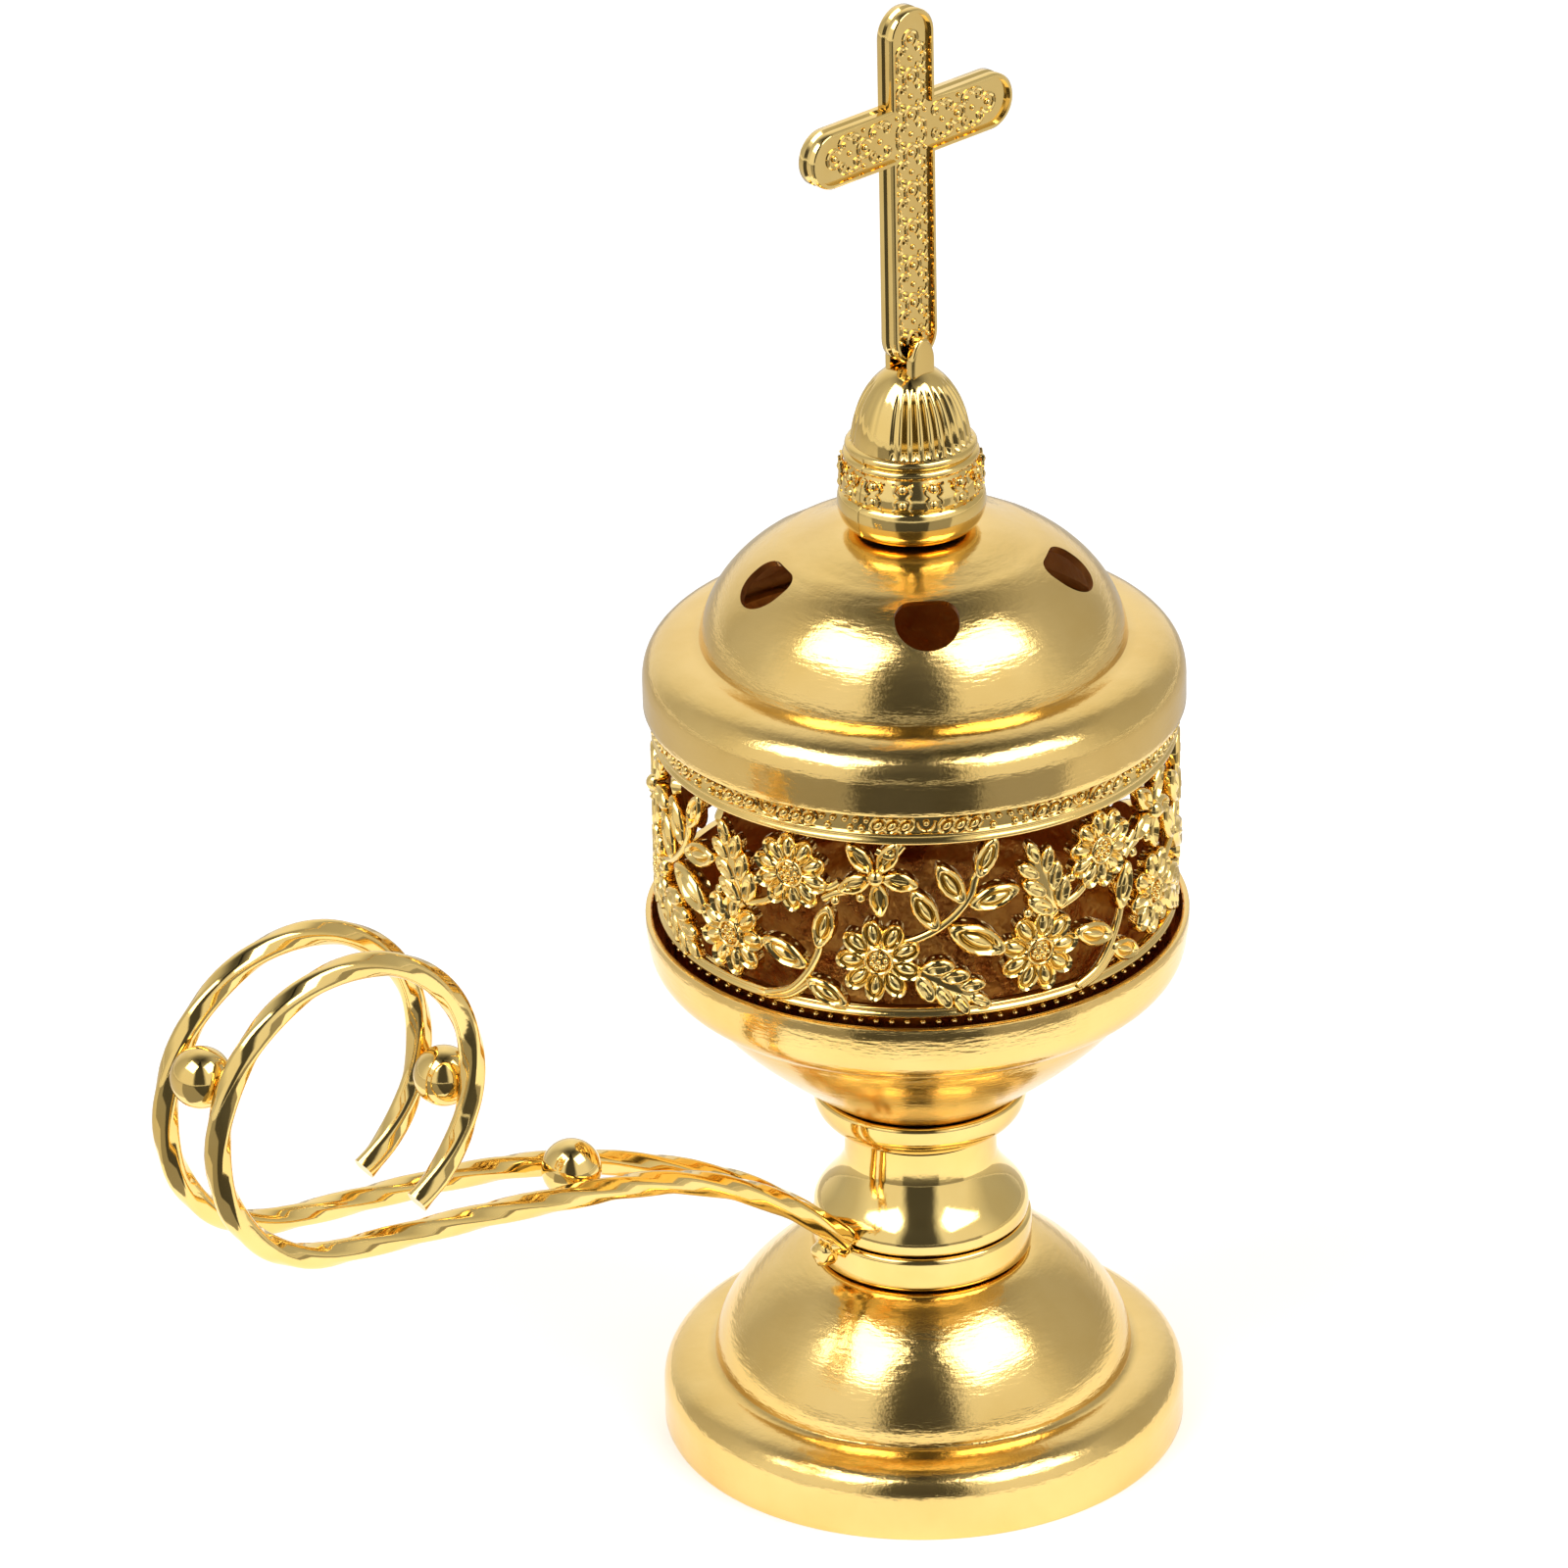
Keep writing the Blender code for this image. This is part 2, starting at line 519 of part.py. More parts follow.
lid_washer_base = lid_top - SHEET - GAP - WASHER_THICKNESS
washer("lid_washer", lid_washer_base, WASHER_RADIUS, lid_axis)
head_top = lid_washer_base - GAP
head_base = head_top - SCREW_HEAD_HEIGHT
screw_tip = finial_base + SCREW_REACH
screw_outline = [(0.0, head_base), (SCREW_HEAD_RADIUS * 0.55, head_base + 0.0001)]
screw_outline += bezier((SCREW_HEAD_RADIUS * 0.75, head_base + 0.0003),
                        (SCREW_HEAD_RADIUS * 0.92, head_base + 0.0008),
                        (SCREW_HEAD_RADIUS, head_base + 0.0012), (SCREW_HEAD_RADIUS, head_top - 0.0004), 3)
screw_outline += [(SCREW_HEAD_RADIUS, head_top), (ROD_RADIUS, head_top),
                  (ROD_RADIUS, screw_tip - rod_chamfer), (ROD_RADIUS - rod_chamfer, screw_tip),
                  (0.0, screw_tip)]
add_object("finial_screw", spun_mesh("finial_screw", screw_outline, TINY_ROUND, closed=False),
           BRASS_RAW, lid_axis)


# ---------------------------------------------------------------- cross
def cross_mesh():
    """A flat cross with round ends and a raised rim about a sunk field on both faces."""
    half = CROSS_BAR / 2
    arm_height = CROSS_HEIGHT - CROSS_ARM_DROP
    end_arc = 7
    ends = [((CROSS_SPAN / 2 - half, arm_height), -90), ((0.0, CROSS_HEIGHT - half), 0),
            ((-CROSS_SPAN / 2 + half, arm_height), 90), ((0.0, half), 180)]
    corners = [(half, arm_height + half), (-half, arm_height + half),
               (-half, arm_height - half), (half, arm_height - half)]
    outline = []
    for (centre, start), corner in zip(ends, corners):
        outline += arc(centre, half, start, start + 180, end_arc)
        outline.append(corner)
    bm = bmesh.new()
    rim = [bm.verts.new((x, -CROSS_THICKNESS / 2, z)) for x, z in outline]
    front = bm.faces.new(rim)
    grown = bmesh.ops.extrude_face_region(bm, geom=[front])["geom"]
    moved = [v for v in grown if isinstance(v, bmesh.types.BMVert)]
    bmesh.ops.translate(bm, verts=moved, vec=(0, CROSS_THICKNESS, 0))
    bmesh.ops.recalc_face_normals(bm, faces=bm.faces)
    for side in (-1, 1):
        bm.faces.ensure_lookup_table()
        flat = [f for f in bm.faces if f.normal.y * side > 0.9 and len(f.verts) > 8]
        bmesh.ops.inset_region(bm, faces=flat, thickness=CROSS_RIM, depth=0.0, use_even_offset=True)
        flat = [f for f in bm.faces if f.normal.y * side > 0.9 and len(f.verts) > 8]
        sunk = bmesh.ops.extrude_face_region(bm, geom=flat)["geom"]
        bmesh.ops.delete(bm, geom=flat, context="FACES_ONLY")
        floor = [v for v in sunk if isinstance(v, bmesh.types.BMVert)]
        bmesh.ops.translate(bm, verts=floor, vec=(0, -side * CROSS_FIELD_DEPTH, 0))
    bmesh.ops.translate(bm, verts=bm.verts, vec=(0, 0, cross_base))
    bmesh.ops.recalc_face_normals(bm, faces=bm.faces)
    mesh = bpy.data.meshes.new("cross")
    bm.to_mesh(mesh)
    bm.free()
    return mesh


add_object("cross", cross_mesh(), GILT_BRIGHT, lid_axis)

# ---------------------------------------------------------------- handle
tip_height = knop_base + TIP_ABOVE_KNOP
tip_reach = radius_at(knop_side, tip_height) + 2 * GAP
loop_first = (LOOP_REACH + LOOP_RADIUS * math.cos(LOOP_START),
              LOOP_HEIGHT + LOOP_RADIUS * math.sin(LOOP_START))


def handle_route():
    """Middle line of the handle as (reach, height): up from the stem, along, and round the loop."""
    ahead = (loop_first[0] + RUN_LEAD * math.sin(LOOP_START), loop_first[1] - RUN_LEAD * math.cos(LOOP_START))
    run = bezier((tip_reach, tip_height), (ARCH_REACH, ARCH_HEIGHT), ahead, loop_first, RUN_STEPS)
    turns = [LOOP_START + LOOP_SWEEP * i / LOOP_STEPS for i in range(1, LOOP_STEPS + 1)]
    return run + [(LOOP_REACH + LOOP_RADIUS * math.cos(t), LOOP_HEIGHT + LOOP_RADIUS * math.sin(t)) for t in turns]


def spread_at(reach):
    """Distance of each wire from the handle's middle plane."""
    share = min(max((reach - PINCH_REACH) / (SPREAD_REACH - PINCH_REACH), 0.0), 1.0)
    eased = share * share * (3 - 2 * share)
    return WIRE_PINCH + (WIRE_SPREAD - WIRE_PINCH) * eased


def wire_section():
    """The square that is swept along the wires."""
    curve = bpy.data.curves.new("wire_section", "CURVE")
    curve.dimensions = "2D"
    half = WIRE_SIDE / 2
    spline = curve.splines.new("POLY")
    spline.points.add(3)
    for point, (x, y) in zip(spline.points, ((-half, -half), (-half, half), (half, half), (half, -half))):
        point.co = (x, y, 0, 1)
    spline.use_cyclic_u = True
    made = bpy.data.objects.new("wire_section", curve)
    bpy.context.scene.collection.objects.link(made)
    made.hide_render = True
    made.display_type = "WIRE"
    return made


def handle_wire(name, side, route, section):
    """One twisted square wire, from the stem along the handle and round its loop."""
    curve = bpy.data.curves.new(name, "CURVE")
    curve.dimensions = "3D"
    curve.twist_mode = "Z_UP"
    curve.bevel_mode = "OBJECT"
    curve.bevel_object = section
    curve.use_fill_caps = True
    spline = curve.splines.new("POLY")
    spline.points.add(len(route) - 1)
    length = 0.0
    last = None
    for i, (reach, height) in enumerate(route):
        in_loop = i >= RUN_STEPS
        spread = WIRE_SPREAD if in_loop else spread_at(reach)
        place = Vector((-reach, side * spread, height))
        if last is not None:
            length += (place - last).length
        last = place
        spline.points[i].co = (*place, 1)
        spline.points[i].tilt = math.pi / 2 * length / QUARTER_TWIST
    made = bpy.data.objects.new(name, curve)
    bpy.context.scene.collection.objects.link(made)
    made.parent = handle_axis
    made.data.materials.append(material(name + "_metal", GILT_BRIGHT))
    return made


route = handle_route()
section = wire_section()
handle_wire("handle_wire_front", -1, route, section)
handle_wire("handle_wire_rear", 1, route, section)


def handle_ball(name, reach, height, spread):
    """A ball soldered between the wires, with a flat where it meets each."""
    flat = spread - WIRE_SIDE / math.sqrt(2) - GAP
    bm = bmesh.new()
    bmesh.ops.create_uvsphere(bm, u_segments=TINY_ROUND, v_segments=BALL_RINGS, radius=BALL_RADIUS)
    for side in (-1, 1):
        geom = bm.verts[:] + bm.edges[:] + bm.faces[:]
        sliced = bmesh.ops.bisect_plane(bm, geom=geom, plane_co=(0, side * flat, 0),
                                        plane_no=(0, side, 0), clear_outer=True)["geom_cut"]
        edges = [e for e in sliced if isinstance(e, bmesh.types.BMEdge)]
        if edges:
            bmesh.ops.contextual_create(bm, geom=edges)
    bmesh.ops.recalc_face_normals(bm, faces=bm.faces)
    mesh = bpy.data.meshes.new(name)
    bm.to_mesh(mesh)
    bm.free()
    made = add_object(name, mesh, GILT_BRIGHT, handle_axis)
    made.location = (-reach, 0, height)
    return made


for name, angle in (("handle_ball_outer", BALL_OUTER_ANGLE), ("handle_ball_inner", BALL_INNER_ANGLE)):
    handle_ball(name, LOOP_REACH + LOOP_RADIUS * math.cos(angle),
                LOOP_HEIGHT + LOOP_RADIUS * math.sin(angle), WIRE_SPREAD)
run_height = height_at(route, BALL_RUN_REACH)
handle_ball("handle_ball_run", BALL_RUN_REACH, run_height + BALL_RUN_RISE, spread_at(BALL_RUN_REACH))

# ---------------------------------------------------------------- braze under the wires' ends
bm = bmesh.new()
bmesh.ops.create_uvsphere(bm, u_segments=TINY_ROUND, v_segments=BALL_RINGS - 2, radius=BRAZE_RADIUS)
braze_mesh = bpy.data.meshes.new("handle_braze")
bm.to_mesh(braze_mesh)
bm.free()
braze = add_object("handle_braze", braze_mesh, GILT_BRIGHT, handle_axis)
braze.location = (-(RING_RADIUS + BRAZE_RADIUS * BRAZE_PROUD), 0, ring_base + RING_HEIGHT / 2)
clear_radius = RING_RADIUS + GAP
clear_outline = [(0.0, ring_base - RING_HEIGHT), (clear_radius, ring_base - RING_HEIGHT),
                 (clear_radius, knop_top), (0.0, knop_top)]
stem_cutter = add_object("stem_clearance", spun_mesh("stem_clearance", clear_outline, SMALL_ROUND, False),
                         BRASS_RAW, vessel)
cut(braze, stem_cutter)

# ---------------------------------------------------------------- origin under the whole object's middle
bpy.context.view_layer.update()
deps = bpy.context.evaluated_depsgraph_get()
low = math.inf
high = -math.inf
for thing in bpy.context.scene.objects:
    if thing.type == "EMPTY" or thing.hide_render:
        continue
    shape = thing.evaluated_get(deps)
    across = [(thing.matrix_world @ v.co).x for v in shape.to_mesh().vertices]
    shape.to_mesh_clear()
    low = min(low, *across)
    high = max(high, *across)
vessel.location.x = -(low + high) / 2
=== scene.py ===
"""Looks of a gilt brass hand censer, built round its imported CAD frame."""

import math

import bmesh
import bpy
from mathutils import Matrix, Vector, noise
from mathutils.geometry import interpolate_bezier


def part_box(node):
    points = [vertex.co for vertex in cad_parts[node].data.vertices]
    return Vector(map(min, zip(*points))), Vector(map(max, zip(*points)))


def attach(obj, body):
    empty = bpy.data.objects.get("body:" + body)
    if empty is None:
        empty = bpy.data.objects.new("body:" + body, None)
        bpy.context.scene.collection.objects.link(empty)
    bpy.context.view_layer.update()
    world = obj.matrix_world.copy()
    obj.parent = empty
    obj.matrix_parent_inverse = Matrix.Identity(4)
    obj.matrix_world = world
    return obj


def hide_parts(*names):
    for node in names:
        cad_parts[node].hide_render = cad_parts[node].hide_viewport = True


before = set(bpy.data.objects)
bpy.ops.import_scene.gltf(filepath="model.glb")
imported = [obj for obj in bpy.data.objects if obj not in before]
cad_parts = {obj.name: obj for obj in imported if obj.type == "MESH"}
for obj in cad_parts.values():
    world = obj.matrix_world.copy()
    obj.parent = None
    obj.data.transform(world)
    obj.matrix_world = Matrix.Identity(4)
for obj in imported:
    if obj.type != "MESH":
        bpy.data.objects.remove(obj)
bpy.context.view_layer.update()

# ---------------------------------------------------------------- foot
# The foot is a two-step spinning of 1 mm brass sheet with a domed middle and a flat-rimmed flange.
# It is gold plated over a satin skin that keeps a fine orange peel, and the tie rod pulls the stem
# down on to its crown.
sheet_wall = 0.0010
satin_gold = (0.935, 0.655, 0.235)
satin_shade = (0.880, 0.595, 0.190)
satin_roughness = 0.148
peel_scale = 2600.0          # lumps of the orange peel, per metre
peel_depth = 0.000014
dent_scale = 420.0
dent_depth = 0.000052
dent_flatness = 5.0          # the dents are this much longer round the piece than they are high
tone_turns = (0.30, 0.62)    # where the patches turn from the shade to the light tone
patch_span = (0.25, 0.75)    # the part of the patches' range that moves the gloss
gloss_share = (0.82, 1.22)   # the roughness at the ends of that range, as a share
foot_low, foot_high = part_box("foot")
axis_x = (foot_low.x + foot_high.x) / 2
foot_radius = (foot_high.x - foot_low.x) / 2
foot_height = foot_high.z
foot_skirt = 0.0052
foot_step = 0.0103
foot_dome_radius = 0.0293
foot_top_radius = 0.0160
rod_bore = 0.0023
fine_round = 168             # sides of the large turned pieces


def noise_field(made, vector, scale, detail):
    """A noise in a material, at a scale per metre."""
    field = made.node_tree.nodes.new("ShaderNodeTexNoise")
    field.inputs["Scale"].default_value = scale
    field.inputs["Detail"].default_value = detail
    made.node_tree.links.new(vector, field.inputs["Vector"])
    return field.outputs["Fac"]


def plated_metal(name, light, shade, roughness, fine, fine_depth, broad, broad_depth, flatness=1.0,
                 patch=95.0):
    """Gold plate whose tone, gloss and skin wander a little, as plating over brass does."""
    made = bpy.data.materials.new(name)
    made.use_nodes = True
    nodes = made.node_tree.nodes
    links = made.node_tree.links
    shader = nodes["Principled BSDF"]
    shader.inputs["Metallic"].default_value = 1.0
    place = nodes.new("ShaderNodeTexCoord").outputs["Object"]
    patches = noise_field(made, place, patch, 4.0)
    tone = nodes.new("ShaderNodeValToRGB")
    for stop, position, colour in zip(tone.color_ramp.elements, tone_turns, (shade, light)):
        stop.position = position
        stop.color = (*colour, 1.0)
    links.new(patches, tone.inputs["Fac"])
    links.new(tone.outputs["Color"], shader.inputs["Base Color"])
    gloss = nodes.new("ShaderNodeMapRange")
    for end, limit, share in zip(("Min", "Max"), patch_span, gloss_share):
        gloss.inputs["From " + end].default_value = limit
        gloss.inputs["To " + end].default_value = roughness * share
    links.new(patches, gloss.inputs["Value"])
    links.new(gloss.outputs["Result"], shader.inputs["Roughness"])
    laid = nodes.new("ShaderNodeMapping")
    laid.inputs["Scale"].default_value = (1.0, 1.0, flatness)
    links.new(place, laid.inputs["Vector"])
    swell = nodes.new("ShaderNodeBump")
    swell.inputs["Distance"].default_value = broad_depth
    links.new(noise_field(made, laid.outputs["Vector"], broad, 2.0), swell.inputs["Height"])
    peel = nodes.new("ShaderNodeBump")
    peel.inputs["Distance"].default_value = fine_depth
    links.new(noise_field(made, place, fine, 3.0), peel.inputs["Height"])
    links.new(swell.outputs["Normal"], peel.inputs["Normal"])
    links.new(peel.outputs["Normal"], shader.inputs["Normal"])
    return made


def curve(a, b, c, d, count):
    """Points of a cubic curve in the (radius, height) plane, both ends included."""
    corners = [Vector((p[0], p[1], 0.0)) for p in (a, b, c, d)]
    return [(p.x, p.y) for p in interpolate_bezier(*corners, count)]


def arc(centre, radius, start, end, count):
    """Points of an arc in the (radius, height) plane, angles in degrees."""
    angles = [math.radians(start + (end - start) * i / (count - 1)) for i in range(count)]
    return [(centre[0] + radius * math.cos(t), centre[1] + radius * math.sin(t)) for t in angles]


def sheet_outline(skin, wall):
    """A skin's outline closed by the inner side of its sheet, which lies on the skin's right."""
    inner = []
    for i, point in enumerate(skin):
        before = Vector(skin[max(i - 1, 0)])
        after = Vector(skin[min(i + 1, len(skin) - 1)])
        along = (after - before).normalized()
        inner.append((point[0] + along.y * wall, point[1] - along.x * wall))
    edge = wall * 0.25           # how far the sheet's edge is rounded
    rim = Vector(skin[-1])
    lip = Vector(inner[-1])
    along = (rim - Vector(skin[-2])).normalized()
    across = (lip - rim).normalized()

    def rounded(corner, inwards):
        """Three points round one corner of the sheet's edge."""
        return [tuple(corner - along * edge), tuple(corner - along * edge * 0.3 + inwards * edge * 0.3),
                tuple(corner + inwards * edge)]

    return skin[:-1] + rounded(rim, across) + (inner[:-1] + rounded(lip, -across))[::-1]


def spun(outline, sides, middle=axis_x, closed=True):
    """A shape turned about an upright axis from an outline in the (radius, height) plane."""
    bm = bmesh.new()
    points = [bm.verts.new((r, 0.0, z)) for r, z in outline]
    edges = [bm.edges.new(pair) for pair in zip(points, points[1:])]
    if closed:
        edges.append(bm.edges.new((points[-1], points[0])))
    bmesh.ops.spin(bm, geom=points + edges, cent=(0, 0, 0), axis=(0, 0, 1), dvec=(0, 0, 0),
                   angle=math.tau, steps=sides, use_merge=True, use_normal_flip=False)
    bmesh.ops.remove_doubles(bm, verts=bm.verts, dist=1e-6)
    bmesh.ops.recalc_face_normals(bm, faces=bm.faces)
    bmesh.ops.translate(bm, verts=bm.verts, vec=(middle, 0.0, 0.0))
    return bm


def linked(name, data):
    """A new object in the scene."""
    made = bpy.data.objects.new(name, data)
    bpy.context.scene.collection.objects.link(made)
    return made


def set_down(name, bm, metals, body, stands_for=(), crease=32):
    """Makes a finished piece of a shape, and gives it to the body that it moves with."""
    mesh = bpy.data.meshes.new(name)
    bm.to_mesh(mesh)
    bm.free()
    for metal in metals:
        mesh.materials.append(metal)
    mesh.shade_smooth()
    mesh.set_sharp_from_angle(angle=math.radians(crease))
    made = linked(name, mesh)
    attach(made, body)
    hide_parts(*stands_for)
    return made


def paint_inside_shade(mesh, inside):
    """Gives the second metal, a painted shade, to the faces that look towards a point inside a hollow
    piece.
    """
    for face in mesh.polygons:
        face.material_index = 1 if face.normal.dot(face.center - inside) < 0 else 0


satin = plated_metal("satin_gilt", satin_gold, satin_shade, satin_roughness, peel_scale, peel_depth,
                     dent_scale, dent_depth, dent_flatness)
foot_skin = [(rod_bore, foot_height), (foot_top_radius - 0.0006, foot_height)]
foot_skin += curve((foot_top_radius, foot_height - 0.0001),
                   (foot_top_radius + 0.005, foot_height - 0.0017),
                   (foot_dome_radius, foot_step + 0.0066), (foot_dome_radius, foot_step + 0.0003), 20)
foot_skin += curve((foot_dome_radius + 0.0005, foot_step - 0.0001),
                   (foot_dome_radius + 0.0040, foot_step - 0.0003),
                   (foot_radius, foot_skirt + 0.0040), (foot_radius, foot_skirt), 16)
foot_skin += [(foot_radius, 0.0012), (foot_radius, 0.0)]
set_down("foot_spinning", spun(sheet_outline(foot_skin, sheet_wall), fine_round), [satin],
         "vessel", ["foot"], crease=40)

# ---------------------------------------------------------------- fastenings
# One M4 rod runs up through the stem, with a washer and a nut under the foot's crown and another
# pair in the bowl. A screw and a washer hold the finial on the lid. All are plain turned brass.
fastening_brass = (0.70, 0.50, 0.22)
fastening_shade = (0.55, 0.37, 0.15)
raw_brass = plated_metal("turned_brass", fastening_brass, fastening_shade, roughness=0.34,
                         fine=1900.0, fine_depth=0.00003, broad=500.0, broad_depth=0.00001)
for node in ("foot_washer", "foot_nut", "tie_rod", "bowl_washer", "bowl_nut", "lid_washer",
             "finial_screw"):
    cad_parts[node].data.materials.clear()
    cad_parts[node].data.materials.append(raw_brass)

# ---------------------------------------------------------------- stem
# Three bright turned castings stand on the foot: a plain ring with rounded edges, a bell-shaped
# knop that narrows to a neck, and a cup that the bowl sits in.
bright_gold = (0.950, 0.690, 0.250)
bright_shade = (0.900, 0.620, 0.195)
bright = plated_metal("bright_gilt", bright_gold, bright_shade, roughness=0.085,
                      fine=1500.0, fine_depth=0.000005, broad=300.0, broad_depth=0.000018)
stem_round = 128             # sides of the turned stem pieces
turned_edge = 0.0005         # how far the knop's and the cup's edges are rounded
ring_low, ring_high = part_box("stem_ring")
ring_radius = (ring_high.x - ring_low.x) / 2
ring_edge = 0.0008
ring_outline = [(rod_bore, ring_low.z)]
ring_outline += arc((ring_radius - ring_edge, ring_low.z + ring_edge), ring_edge, -90, 0, 7)
ring_outline += arc((ring_radius - ring_edge, ring_high.z - ring_edge), ring_edge, 0, 90, 7)
ring_outline += [(rod_bore, ring_high.z)]

knop_low, knop_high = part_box("stem_knop")
knop_radius = (knop_high.x - knop_low.x) / 2
neck_radius = 0.0106
knop_side = curve((knop_radius, knop_low.z + 0.0012), (knop_radius, knop_low.z + 0.0038),
                  (neck_radius + 0.0010, knop_low.z + 0.0050), (neck_radius, knop_low.z + 0.0092), 24)
knop_outline = [(rod_bore, knop_low.z)]
knop_outline += arc((knop_radius - turned_edge, knop_low.z + turned_edge), turned_edge, -90, -10, 5)
knop_outline += knop_side + [(neck_radius, knop_high.z), (rod_bore, knop_high.z)]

collar_low, collar_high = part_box("stem_collar")
collar_radius = (collar_high.x - collar_low.x) / 2
collar_base_radius = 0.0110
collar_recess = 0.0012
collar_outline = [(rod_bore, collar_low.z), (collar_base_radius - 0.0006, collar_low.z)]
collar_outline += curve((collar_base_radius, collar_low.z + 0.0004),
                        (collar_base_radius + 0.0022, collar_low.z + 0.0010),
                        (collar_radius, collar_low.z + 0.0024),
                        (collar_radius, collar_high.z - turned_edge), 18)
collar_outline += arc((collar_radius - turned_edge, collar_high.z - turned_edge), turned_edge, 10, 90, 5)
collar_outline += [(collar_radius - 0.0009, collar_high.z),
                   (collar_radius - 0.0017, collar_high.z - collar_recess),
                   (rod_bore, collar_high.z - collar_recess)]
for node, outline in (("stem_ring", ring_outline), ("stem_knop", knop_outline),
                      ("stem_collar", collar_outline)):
    set_down(node + "_turning", spun(outline, stem_round), [bright], "vessel", [node])

# ---------------------------------------------------------------- bowl
# A shallow two-step stamping of the same sheet as the foot. Its lower half is a saucer seated in
# the cup, and its upper half flares to an open rim that the lid's band drops into.
bowl_low, bowl_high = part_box("bowl")
bowl_radius = (bowl_high.x - bowl_low.x) / 2
bowl_step_radius = 0.0314
bowl_step = bowl_low.z + 0.0184
bowl_seat_radius = 0.0126
bowl_skin = [(rod_bore, bowl_low.z)]
bowl_skin += curve((bowl_seat_radius, bowl_low.z), (bowl_seat_radius + 0.0050, bowl_low.z + 0.0042),
                   (bowl_step_radius - 0.0034, bowl_low.z + 0.0116),
                   (bowl_step_radius, bowl_step - 0.0004), 22)
bowl_skin += curve((bowl_step_radius + 0.0004, bowl_step),
                   (bowl_step_radius + 0.0032, bowl_step + 0.0010),
                   (bowl_radius - 0.0005, bowl_step + 0.0028),
                   (bowl_radius - 0.0003, bowl_step + 0.0060), 16)
bowl_skin += [(bowl_radius, bowl_high.z - 0.0018), (bowl_radius, bowl_high.z)]
bowl_section = sheet_outline([(r, -z) for r, z in bowl_skin], sheet_wall)
bowl_section = [(r, -z) for r, z in bowl_section]
# The bowl's inside faces take a darker, redder gold: painted shade for the hollow of the bowl.
inside_shaded_gold = (0.97, 0.50, 0.110)
inside_shade = (0.40, 0.09, 0.010)
inside_painted_shade = plated_metal("painted_shade_inside", inside_shaded_gold, inside_shade, roughness=0.28, fine=1300.0,
                         fine_depth=0.00020, broad=420.0, broad_depth=0.00045, patch=200.0)
bowl = set_down("bowl_stamping", spun(bowl_section, fine_round), [satin, inside_painted_shade], "vessel",
                ["bowl"], crease=40)
paint_inside_shade(bowl.data, Vector((axis_x, 0, bowl_high.z)))

# ---------------------------------------------------------------- handle
# Two square brass wires, each twisted a quarter turn every 11 mm, run side by side from the stem
# and curl into a finger loop. Three balls are soldered between them, and the wires' ends are
# brazed to the knop with a rough bead.
wire_side = 0.0031
wire_edge = 0.00105
wire_spread = 0.0059         # each wire from the handle's middle plane, at the loop
wire_pinch = 0.00225         # and where they run into the stem
quarter_twist = 0.0112       # length of wire that turns through a quarter
edge_points = 5              # points round each corner of the wire
spread_start = 0.0330        # the wires part between these reaches
spread_end = 0.0710
run_lead = 0.0330            # how strongly the run is pulled along the loop's own direction
run_pull = (0.0420, 0.0600)  # and what it is pulled towards near the stem, as (reach, height)
run_points = 110
loop_points = 130
loop_radius = 0.0203
loop_reach = 0.1004
loop_height = 0.0854
loop_start = math.radians(-82)
loop_sweep = math.radians(321)
wire_tip_height = knop_low.z + 0.0014
wire_tip_reach = knop_radius + 0.0006


def loop_point(turn):
    """A point of the finger loop's middle line as (reach, height)."""
    return (loop_reach + loop_radius * math.cos(turn), loop_height + loop_radius * math.sin(turn))


def spread_at(reach):
    """Distance of each wire from the handle's middle plane."""
    share = min(max((reach - spread_start) / (spread_end - spread_start), 0.0), 1.0)
    return wire_pinch + (wire_spread - wire_pinch) * share * share * (3 - 2 * share)


def extruded(bm, loop):
    """Draws a loop of edges out, and gives the new points and the new loop."""
    grown = bmesh.ops.extrude_edge_only(bm, edges=loop)["geom"]
    return ([g for g in grown if isinstance(g, bmesh.types.BMVert)],
            [g for g in grown if isinstance(g, bmesh.types.BMEdge)])


def swept(route, section, sideways, turn_per_metre=0.0):
    """A rod: a section, as a ring of (across, up) points, drawn along a route and turned as it goes."""
    bm = bmesh.new()
    ring = [bm.verts.new((x, y, 0.0)) for x, y in section]
    start_face = bm.faces.new(ring)
    loop = list(start_face.edges)
    before = Matrix.Identity(4)
    travelled = 0.0
    for i, point in enumerate(route):
        along = (route[min(i + 1, len(route) - 1)] - route[max(i - 1, 0)]).normalized()
        across = (sideways - along * sideways.dot(along)).normalized()
        upward = along.cross(across)
        if i:
            travelled += (point - route[i - 1]).length
        axes = Matrix((across, upward, along)).transposed().to_4x4()
        here = Matrix.Translation(point) @ axes @ Matrix.Rotation(turn_per_metre * travelled, 4, "Z")
        if i:
            ring, loop = extruded(bm, loop)
        bmesh.ops.transform(bm, matrix=here @ before.inverted(), verts=ring)
        before = here
    bmesh.ops.contextual_create(bm, geom=loop)
    bmesh.ops.recalc_face_normals(bm, faces=bm.faces)
    return bm


